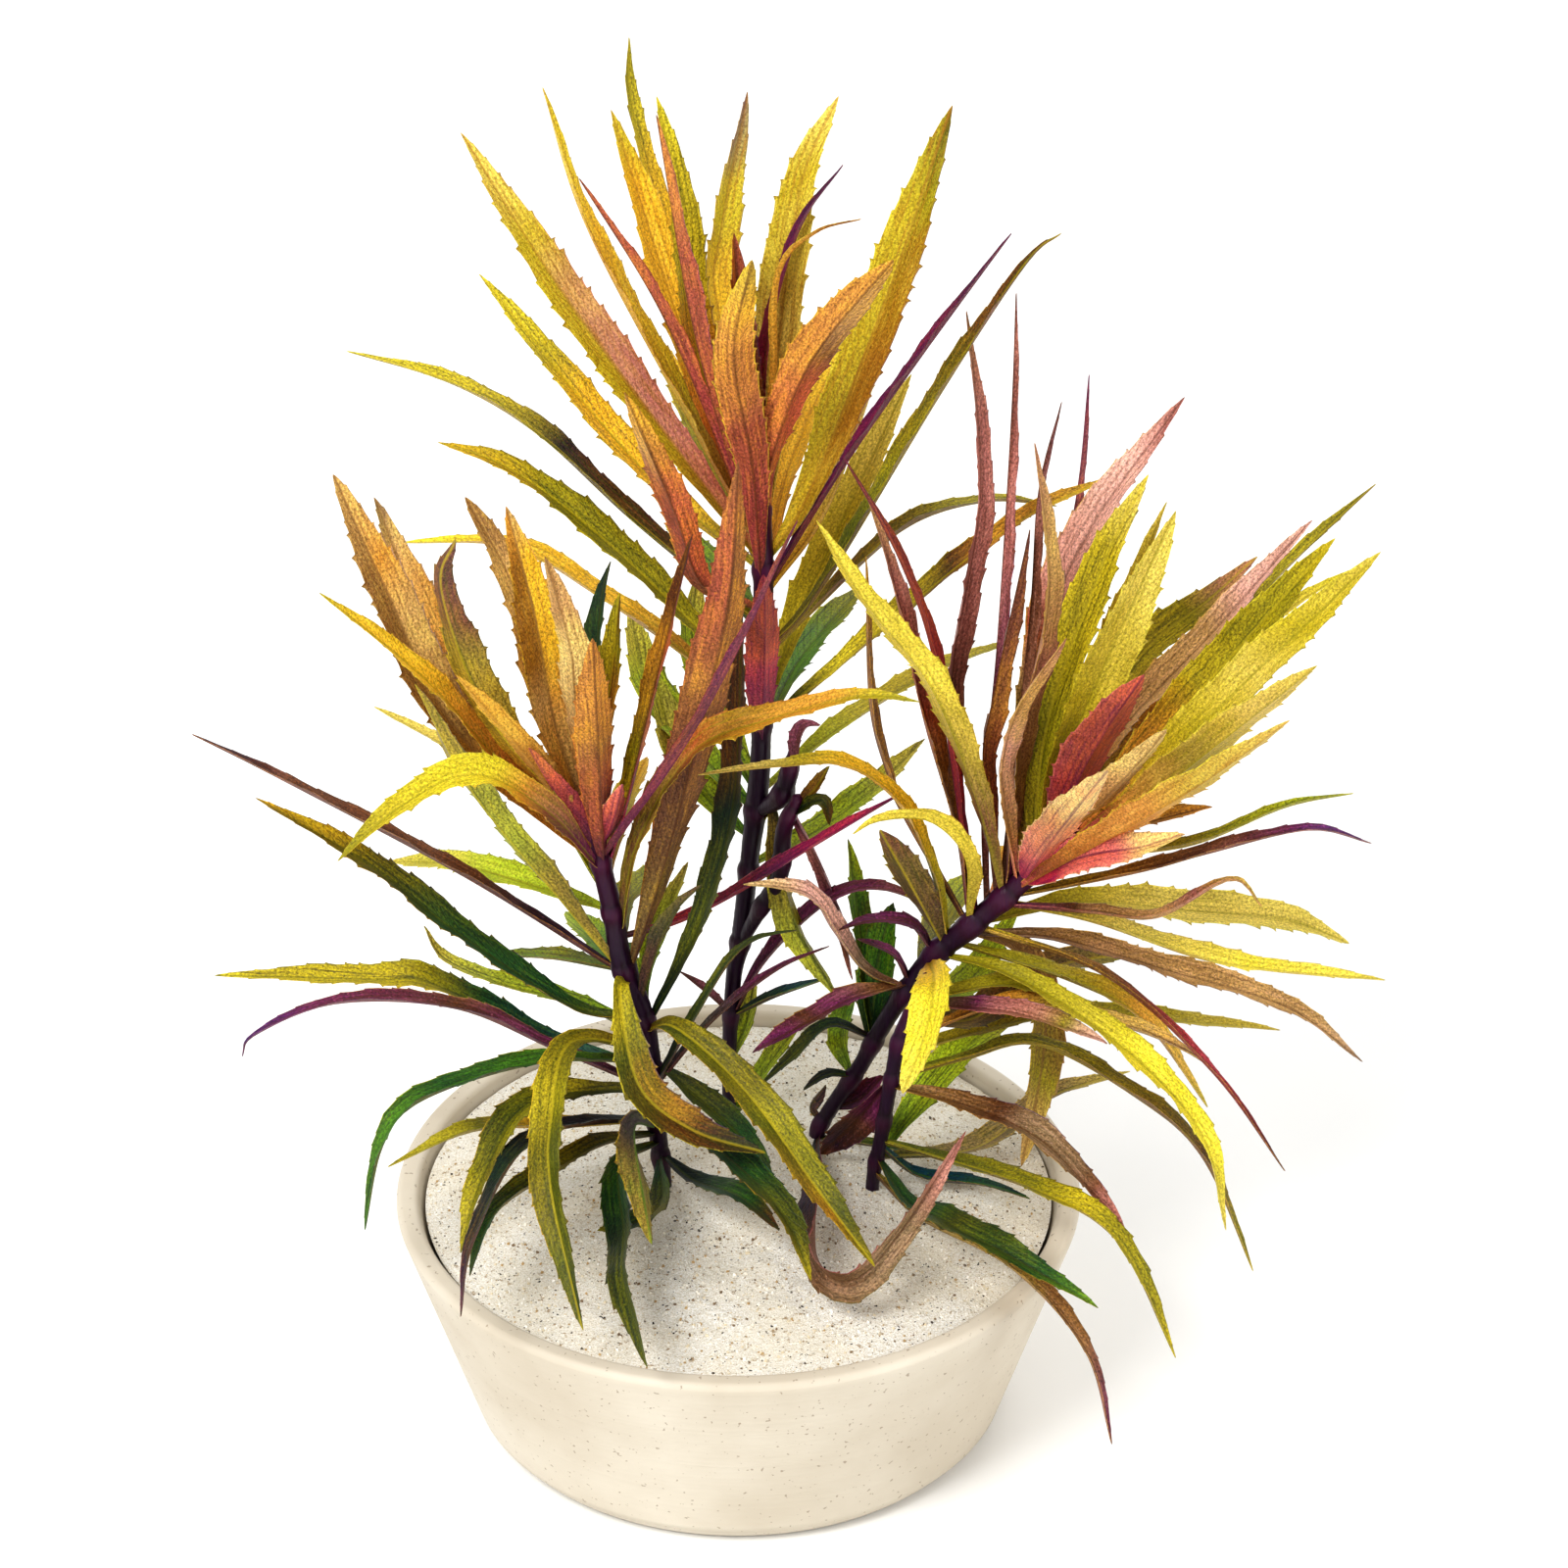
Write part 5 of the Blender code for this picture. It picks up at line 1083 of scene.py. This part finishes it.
# The leaves of the left stem: its crown is tan and orange with coarse teeth, and its old
# lower leaves are dark green and hang over the sand.
LEFT_LEAVES = {"gold": (
    ("left", 63, ((-26, 78), (-20, 92)), 54, 9, 0.8, "bronze olive gold/lemon ochre"),
    ("left", 73.5, ((-46, 92), (-62, 110)), -24, 6.5, 0.8, "rust bronze gold gold/lemon umber"),
), "olive": (
    (4, 48, ((-39, 61), (-58, 84), (-71, 108)), -16, 9, 0.6,
     "moss olive lime olive olive/lemon violet"),
    (15, 44, ((-26, 40), (-22, 20), (-10, 10), (6, 5)), (-9, -20, -24, -27), 9.5, 0.9,
     "olive brass moss umber umber deep|brass olive reed bronze umber deep/lemon violet"),
    (16, 33, ((-13, 32), (2, 18), (18, -4), (30, -20)), (-13, -27, -43, -55), 9.5, 0.8,
     "umber moss reed moss bronze reed|umber reed reed olive moss reed/gold night"),
    (18, 29, ((-37, 29), (-41, 13), (-41, -3), (-34, -34)), (-12, -30, -46, -68), 9, 0.8,
     "bronze reed brass reed moss moss|moss reed olive moss moss deep/gold night"),
    ("left", 77, ((-54, 100), (-65, 128), (-62, 140)), -22, 10, 0.8,
     "rust gold brass olive umber night/gold night"),
    ("left", 78, ((-28.5, 104), (-26, 128)), (2, 8), 8, 0.75,
     "rust bronze brass brass olive|umber umber rust olive umber/gold night"),
    ("left", 66, ((-36, 80), (-48, 96)), 56, 9, 0.8, "rust gold olive/gold plum"),
), "yellow": (
    (3, 71, ((-50, 88), (-69, 109), (-92, 128)), -20, 8, 0.5,
     "umber rust ochre gold brass/lemon rust"),
    (10, 55, ((-22, 73), (-10, 93), (7, 100), (27, 105), (40, 104)), -24.5, 8.5, 0.6,
     "night umber umber brown rust bronze ochre brass olive/lemon rust"),
    (12, 69, ((-42, 80), (-58, 88), (-74, 81), (-88, 69)), (-14, -28, -40, -50), 9, 0.7,
     "plum plum ochre lemon brass olive/lemon gold"),
    ("left", 58, ((-46, 64), (-61, 68), (-77, 69)), 42, 8, 0.7, "lime lime straw/lemon teal"),
    ("left", 62, ((-44, 82), (-80, 103)), 50, 7, 0.5, "lime straw straw/lemon straw"),
    ("left", 13, ((-38, 11), (-58, 10), (-77, 2)), (-10, -20, -30), 7, 0.35,
     "olive gold moss lemon/lemon olive"),
), "orange": (
    (8, 68, ((-24, 84), (-18, 108), (-10, 141)), 8, 7, 0.55,
     "rust olive olive bronze umber umber|magenta magenta mauve rust umber night/gold magenta"),
    (9, 46, ((-16, 70), (-8, 100), (-2, 128), (0, 157)), -14, 11, 0.9,
     "moss reed umber bronze rust bronze|umber moss umber bronze bronze rust/rust night"),
    ("left", 70, ((-31, 96), (-32, 118)), -32, 9, 0.9, "plum rust bronze ochre ochre/orange night"),
), "crimson": (
    ("left", 71, ((-13, 93), (0, 116), (13, 144)), (-18, -23, -26), 5, 0.25,
     "umber plum umber plum umber/crimson violet"),
    ("left", 73, ((-28, 77), (-25.5, 86)), (-6, -12), 5.5, 0.8,
     "plum crimson coral rose/cream coral/young"),
    ("left", 74, ((-40, 84), (-46, 94)), -14, 7, 0.7, "plum crimson coral ochre/orange plum/young"),
    ("left", 52, ((-13, 56), (1, 63), (14, 71), (36, 84)), (8, 12, 14, 14), 5.5, 0.4,
     "umber crimson plum magenta plum/rose violet"),
), "mauve": (
    ("left", 20, ((-40, 28), (-62, 37), (-88, 38), (-106, 31), (-109, 26)), (-2, -8, -14, -18, -20),
     6.5, 0.35, "deep plum umber plum violet/gold violet"),
    ("left", 46, ((-60, 66), (-100, 87), (-120, 97)), 12, 6, 0.3,
     "night night umber umber umber night/ochre night"),
    ("left", 21, ((-6, 34), (8, 45), (20, 50.5)), (2, 3, 4), 3.6, 0.35,
     "night deep plum night/moss night"),
), "tan": (
    (1, 70, ((-62, 98), (-78, 130), (-89, 154)), -3, 11, 0.9,
     "rust ochre bronze brown brown tan|bronze ochre brown tan ochre tan/tan violet/blunt"),
    (2, 75, ((-52, 94), (-68.5, 121), (-80, 149)), 32, 11, 0.85,
     "ochre gold brown ochre tan drab/gold violet"),
    (5, 72, ((-42, 100), (-49, 128), (-60, 149)), 36, 10, 0.8,
     "coral gold ochre tan tan brown/gold violet/blunt"),
    (6, 76, ((-40, 98), (-45, 124), (-51, 147)), 14, 10.5, 0.95,
     "magenta ochre tan bronze bronze ochre|magenta tan ochre gold gold tan/gold magenta"),
    (7, 77, ((-35.5, 103), (-37, 117), (-42.5, 136)), -10, 8.5, 0.9,
     "crimson bronze tan cream tan tan/tan plum"),
), "green": (
    (11, 34, ((-9, 54), (-1, 82), (1, 127)), 8, 8.5, 0.65, "deep moss deep umber night/moss night"),
    (13, 35, ((-36, 37), (-60, 52), (-81, 68), (-106, 83)), 2, 9, 0.55,
     "moss forest forest moss reed gold/gold violet"),
    (14, 24, ((-40, 29), (-67, 42), (-80, 43), (-115, 44)), (6, 6, 5, 2), 8.5, 0.6,
     "forest teal forest olive brass brass lemon/gold teal"),
    (17, 18, ((-12, 12), (8, -6), (16, -23)), (-9, -35, -51), 9, 0.65,
     "night deep forest moss brass/gold teal"),
    (19, 20, ((-45, 16), (-56, 0), (-61, -17)), (-18, -36, -50), 8.5, 0.65,
     "deep brass moss olive brass|deep moss olive reed olive/gold deep"),
    (21, 8, ((-26, 2), (-25, -12), (-25, -23), (-20, -42)), (-20, -39, -56, -78), 8.5, 0.65,
     "moss forest deep moss moss/moss teal"),
    ("left", 40, ((-18, 50), (-14, 58), (-8, 64)), -18, 5.5, 0.6,
     "night deep forest deep/moss teal"),
    ("left", 14, ((-45, 8), (-58, -14), (-61, -31)), (-30, -56, -70), 7, 0.3,
     "deep night deep plum/gold teal"),
    ("left", 10, ((-30, 7), (-44, -1), (-54, -9), (-59, -22)), (-14, -28, -40, -52), 8, 0.45,
     "moss reed olive forest deep/gold teal"),
    ("left", 5, ((-17, -6), (-24, -11), (-31, -12)), (-16, -26, -32), 7, 0.7,
     "deep forest olive forest olive/gold deep"),
    ("left", 5, ((-10, -1), (0, -4.5), (9, -12)), (-10, -24, -38), 7, 0.6,
     "night deep forest umber/moss teal"),
    ("left", 31, ((-36, 38), (-52, 42), (-65, 48), (-69, 55)), (12, 22, 27, 28), 7, 0.5,
     "green lime straw/lemon teal"),
    ("left", 74, ((-31, 110), (-30, 126), (-28, 135)), 34, 8, 0.6, "moss forest deep/moss deep"),
    ("left", 48, ((-24, 60), (-14, 70)), 56, 9, 0.8, "moss olive lime/lemon moss"),
    ("left", 38, ((-27, 48), (-38, 58)), 56, 9, 0.8, "forest green lime/lemon forest"),
    ("left", 22, ((-9, 36), (-2, 47), (4, 52), (13, 54)), (-10, -9, -8, -7), 4, 0.45,
     "night deep moss deep/moss teal"),
    ("left", 35, ((-19, 48), (-11, 69)), 26, 7, 0.7, "green lime straw/lemon green"),
    ("left", 24, ((-10, 18), (0, 9), (8, -3)), (1, -6, -11), 8, 0.7,
     "deep moss forest moss/moss teal"),
), "teal": (
    (20, 26, ((-44, 25), (-69, 17), (-78, 7), (-82, -12)), (-10, -22, -30, -38), 8, 0.4,
     "moss green forest green deep/lemon teal"),
    ("left", 45, ((-42, 48), (-56, 48)), 36, 6, 0.4, "forest olive green/gold teal"),
    ("left", 12, ((-23, 11), (-22, 1), (-19, -15)), (-14, -32, -54), 8, 0.7,
     "teal teal moss olive olive/gold teal"),
)}
grow_leaves("left", LEFT_LEAVES, np.random.default_rng(37))

# The leaves of the right stem: a fan of yellow blades behind the pink young leaves of the
# growing tip, with thin purple ones behind them.
RIGHT_LEAVES = {"gold": (
    ("right", 65, ((98, 84), (121, 100)), (-42, -58), 9, 0.7,
     "crimson ochre ochre brass straw/lemon ochre"),
    ("right", 58, ((64, 74), (76, 90)), 62, 9, 0.8, "coral gold lemon/lemon gold"),
), "olive": (
    (3, 68, ((68, 100), (80, 134), (90, 154)), 14, 10.5, 0.9,
     "brass olive olive brass brass straw/lemon olive"),
    (6, 74.2, ((80, 81), (90, 94), (110, 116), (131, 140)), (2, 8, 8, 4), 10.5, 0.85,
     "ochre ochre brass olive brass/lemon moss"),
    ("right", 68, ((85, 110), (104, 127), (114, 136)), (42, 52, 58), 10, 0.9,
     "bronze brass brass olive mauve/lemon moss"),
    ("right", 66, ((92, 102), (117, 130), (140, 152)), 66, 8, 0.45,
     "olive olive ochre brass olive umber/gold violet"),
    ("right", 51, ((39, 62), (31, 76)), -12, 9, 0.8, "moss deep moss umber/lemon violet"),
    ("right", 65, ((80, 70), (100, 73), (120, 81), (135, 84)), 6, 5, 0.35,
     "bronze olive lime/lemon teal"),
    ("right", 64, ((66, 82), (60, 98)), 60, 9, 0.8, "rust olive gold/lemon plum"),
), "yellow": (
    (1, 62, ((52, 84), (42, 108), (28, 126), (17, 144)), -24, 8.5, 0.7,
     "reed umber reed lemon lemon lemon lemon/lemon bronze"),
    (4, 70, ((71, 90), (82, 116), (96, 146)), -6, 11, 0.95,
     "bronze olive brass straw straw/lemon lemon"),
    (7, 72, ((86, 84), (112, 109), (128, 124), (141, 137)), (-4, -9, -14, -18), 10.5, 0.85,
     "coral ochre brass straw brass straw/lemon umber"),
    (8, 71, ((82, 77), (104, 94), (127, 112)), (-14, -30, -46), 10, 0.8,
     "crimson crimson ochre olive brass straw brass/lemon gold"),
    (9, 56, ((74, 60), (100, 58), (120, 56), (134, 51)), 26, 10, 0.75,
     "olive brass straw straw straw/lemon lime/blunt"),
    (10, 50, ((60, 44), (82, 30), (101, 10), (107, -12)), (-12, -20, -28, -34), 9, 0.6,
     "olive olive lemon lemon straw/lemon olive"),
    (11, 48, ((43, 42), (41, 31), (36, 18)), (-22, -34, -42), 9, 0.9,
     "bronze gold lemon lemon straw/lemon umber/blunt"),
    ("right", 52, ((73, 43), (89, 34), (103, 15)), -5, 8, 0.45,
     "olive olive ochre straw/lemon olive"),
    ("right", 52, ((43, 66), (36, 81), (24, 90), (10, 90), (-9, 88)), -20, 6, 0.45,
     "olive brass gold gold brass cream/lemon rust"),
    ("right", 56, ((50, 70), (42, 78), (31, 78), (25, 75)), -20, 7, 0.5,
     "olive lemon lemon/lemon rust"),
    ("right", 61, ((78, 56), (101, 48), (118, 45), (142, 43)), -8, 8, 0.45,
     "brass straw lemon straw/lemon bronze"),
    ("right", 69, ((78, 106), (88, 132), (94, 148)), 24, 8, 0.5,
     "bronze olive brass straw/lemon olive"),
    ("right", 64, ((92, 96), (118, 122), (137, 134)), 54, 8, 0.5, "lime straw lemon/lemon straw"),
), "orange": (
    ("right", 61, ((54, 90), (56, 104), (64, 142)), 5, 7, 0.45,
     "umber rust bronze umber night/orange night"),
    ("right", 55, ((36, 80), (33, 88), (29, 104), (28, 136)), (10, 10, 10, 8), 4.5, 0.3,
     "night bronze brown gold/gold violet"),
    # This leaf's dark crimson foot is partly painted shade, the dark behind the young leaves,
    # besides its own red
    ("right", 69, ((82, 75), (92, 78), (104, 81)), 12, 8, 0.5,
     "crimson crimson bronze ochre/lemon orange"),
), "crimson": (
    ("right", 57, ((44, 109), (36, 134), (23, 158)), -2, 6, 0.25,
     "plum crimson rust umber/coral night"),
    ("right", 63, ((66, 112), (74, 147), (77, 176)), 50, 5, 0.3,
     "plum mauve mauve plum/magenta violet"),
    ("right", 73, ((74, 86), (80, 97), (89, 110)), -24, 11, 0.9,
     "rust crimson rust rust coral/rose plum/young"),
    ("right", 66, ((68, 73), (76, 83), (81, 89)), (-23, -42, -52), 10, 0.9,
     "magenta rose tan cream cream/cream rose/young"),
    ("right", 66, ((76, 70), (88, 72), (98, 75)), (-18, -28, -34), 9, 0.85,
     "crimson magenta rose rose cream cream/cream magenta/young"),
), "mauve": (
    (2, 66, ((66, 104), (74, 136), (98, 171)), 34, 11, 0.8,
     "olive olive tan rust blush blush mauve/gold magenta"),
    (5, 76.9, ((75, 84), (86, 100), (104, 119), (126, 144)), (12, 26, 38, 46), 9.5, 0.65,
     "crimson ochre tan tan blush blush/gold violet"),
    (12, 9, ((17, -2), (17, -18), (25, -23), (35, -13), (50, 10)), (-27, -60, -67, -61, -53), 9,
     0.75, "deep night night umber drab drab mauve/moss magenta"),
    ("right", 56, ((48, 76), (41, 100), (34, 130), (28, 150)), 4, 8, 0.45,
     "plum bronze rust mauve tan/gold violet"),
    ("right", 57, ((47, 86), (47, 112), (53, 150), (50, 190)), 24, 8, 0.55,
     "plum umber mauve mauve brown/mauve violet"),
    ("right", 59, ((54, 84), (57, 115), (60, 165), (61, 194)), 32, 5.5, 0.3,
     "umber plum mauve umber/gold violet"),
    ("right", 62, ((64, 120), (66, 150), (71, 170)), 10, 5, 0.3,
     "umber brown umber night/umber night"),
    ("right", 63, ((88, 67), (103, 71), (125, 76), (139, 73)), -16, 5.5, 0.4,
     "olive bronze umber plum violet/gold violet"),
    ("right", 61, ((78, 58), (92, 57), (108, 65), (115, 59)), -22, 5, 0.35,
     "plum umber tan mauve lemon/rose violet"),
    ("right", 54, ((70, 52), (94, 45), (120, 37), (137, 25)), 12, 8.5, 0.6,
     "drab brown tan tan drab/gold violet"),
    ("right", 56, ((81, 44), (104, 23), (120, 1)), -26, 4, 0.3,
     "brass umber crimson night/gold night"),
    ("right", 42, ((25, 39), (16, 34), (3, 27)), -18, 7.5, 0.55,
     "umber brown plum umber plum night/gold night"),
    ("right", 41, ((28, 45), (21, 54), (15, 62), (1, 64)), -12, 7, 0.5,
     "umber drab blush blush cream/lemon violet"),
    ("right", 15, ((27, 17), (32, 22)), 3, 6, 0.8, "night plum/plum night"),
    ("right", 49, ((38, 55), (30, 56), (22, 54)), -4, 5, 0.5, "night plum night/plum night"),
    ("right", 43, ((34, 48.5), (26, 52)), -6, 3.6, 0.4, "night plum night/umber night"),
), "tan": (
    ("right", 63, ((62, 96), (68, 128), (65, 161)), -4, 8, 0.5,
     "plum brown mauve tan mauve/gold violet"),
    ("right", 65, ((58, 84), (58, 92), (62, 104), (72, 118)), -28, 7, 0.55,
     "rose tan blush tan mauve/gold mauve"),
    ("right", 74, ((78, 81), (88, 91), (94, 98)), (-14, -22, -28), 9, 0.75,
     "coral gold tan cream cream/cream coral/young"),
    ("right", 54, ((62, 50), (67, 36), (66, 21), (62, 2)), (6, 4, 0, -6), 9, 0.9,
     "brown brown olive tan/gold mauve"),
), "green": (
    ("right", 30, ((27, 50), (24, 74)), 16, 7, 0.7, "forest moss green lime/lime forest"),
    ("right", 29, ((31, 48), (34, 60)), 10, 9, 0.95, "deep forest green forest/moss teal"),
    ("right", 12, ((16, 15), (19.2, 20)), 4, 3.5, 0.6, "deep night/moss night"),
    ("right", 44, ((46, 58), (54, 68)), 56, 9, 0.8, "moss olive lime/lemon moss"),
    ("right", 30, ((20, 33), (12, 26), (5, 20)), (2, 3, 4), 5, 0.6,
     "night deep moss deep/moss teal"),
    ("right", 22, ((22.5, 31), (25.5, 42)), 14, 7, 0.75, "green lime green lime/lemon green"),
    ("right", 9, ((26, 7.4), (36, 5.6), (46, 3.6)), (-6, -10, -14), 4.2, 0.4,
     "deep moss forest moss/lemon night"),
    ("right", 22, ((19.5, 22), (14.2, 18.8)), -5, 3.6, 0.6, "deep night/moss night"),
)}
grow_leaves("right", RIGHT_LEAVES, np.random.default_rng(41))

# The leaves of the low stem: a few soft old blades, grown from its knots near the sand,
# that spread and hang to the right.
LOW_LEAVES = {"olive": (
    (2, 8, ((44, 4), (65, -3), (83, -14), (96, -40)), (-7, -25, -37, -51), 8.5, 0.45,
     "moss moss olive brass olive brass/lemon deep"),
    ("low", 35, ((50, 34), (60, 40), (70, 46), (88, 49)), (14, 22, 28, 36), 9, 0.8,
     "umber drab umber drab olive/gold teal"),
    ("low", 22, ((50, 26), (66, 29), (88, 17), (102, 4), (113, -21)), (0, 2, -4, -8, -14), 7, 0.35,
     "moss olive umber olive/gold violet"),
    ("low", 4, ((52, 6), (68, 17), (86, 23)), (12, 28, 38), 8, 0.5,
     "moss drab drab drab straw/gold teal"),
), "yellow": (
    ("low", 26, ((50, 31), (70, 35), (95, 34), (119, 32)), (14, 22, 26, 28), 8, 0.5,
     "brass brass olive olive straw/lemon teal"),
    ("low", 39, ((59, 42), (70, 39), (82, 34)), (6, 2, -2), 7, 0.5,
     "olive olive brass/lemon olive"),
), "orange": (
    ("low", 30, ((60, 38), (84, 33), (97, 28), (105, 23)), (2, 0, 2, 4), 7, 0.4,
     "drab ochre straw tan drab/gold night"),
), "mauve": (
    (1, 20, ((51, 15), (66, 8), (78, -4), (85, -12)), (-9, -17, -24, -30), 9, 0.6,
     "moss brown umber drab umber mauve/gold violet"),
    ("low", 38, ((59, 36), (76, 31), (81, 29)), -14, 8, 0.5,
     "moss plum mauve olive blush/rose violet"),
    ("low", 1, ((40, -9), (60, -20), (76, -38), (82, -59)), (-18, -40, -56, -66), 7, 0.4,
     "deep olive brass brown brown plum/gold teal"),
    ("low", 20, ((27, 13.5), (18, 4.8)), 12, 8.5, 0.9, "night plum umber night umber/drab violet"),
), "green": (
    (3, 4, ((37, -6), (45, -10), (60, -18), (79, -29)), (-15, -29, -45, -57), 9, 0.6,
     "deep forest moss forest green/gold teal"),
    ("low", 36, ((50, 42), (56, 50), (62, 60)), (24, 34, 42), 8, 0.9,
     "green lime lime/lime forest"),
    ("low", 4, ((38, 14), (50, 28), (64, 38)), 36, 9, 0.85, "green lime lime brass/lemon green"),
), "teal": (
    ("low", 6, ((40, 0), (54, -2), (64, -5)), (2, 0, -4), 5, 0.4, "teal teal deep/gold teal"),
)}
grow_leaves("low", LOW_LEAVES, np.random.default_rng(43))
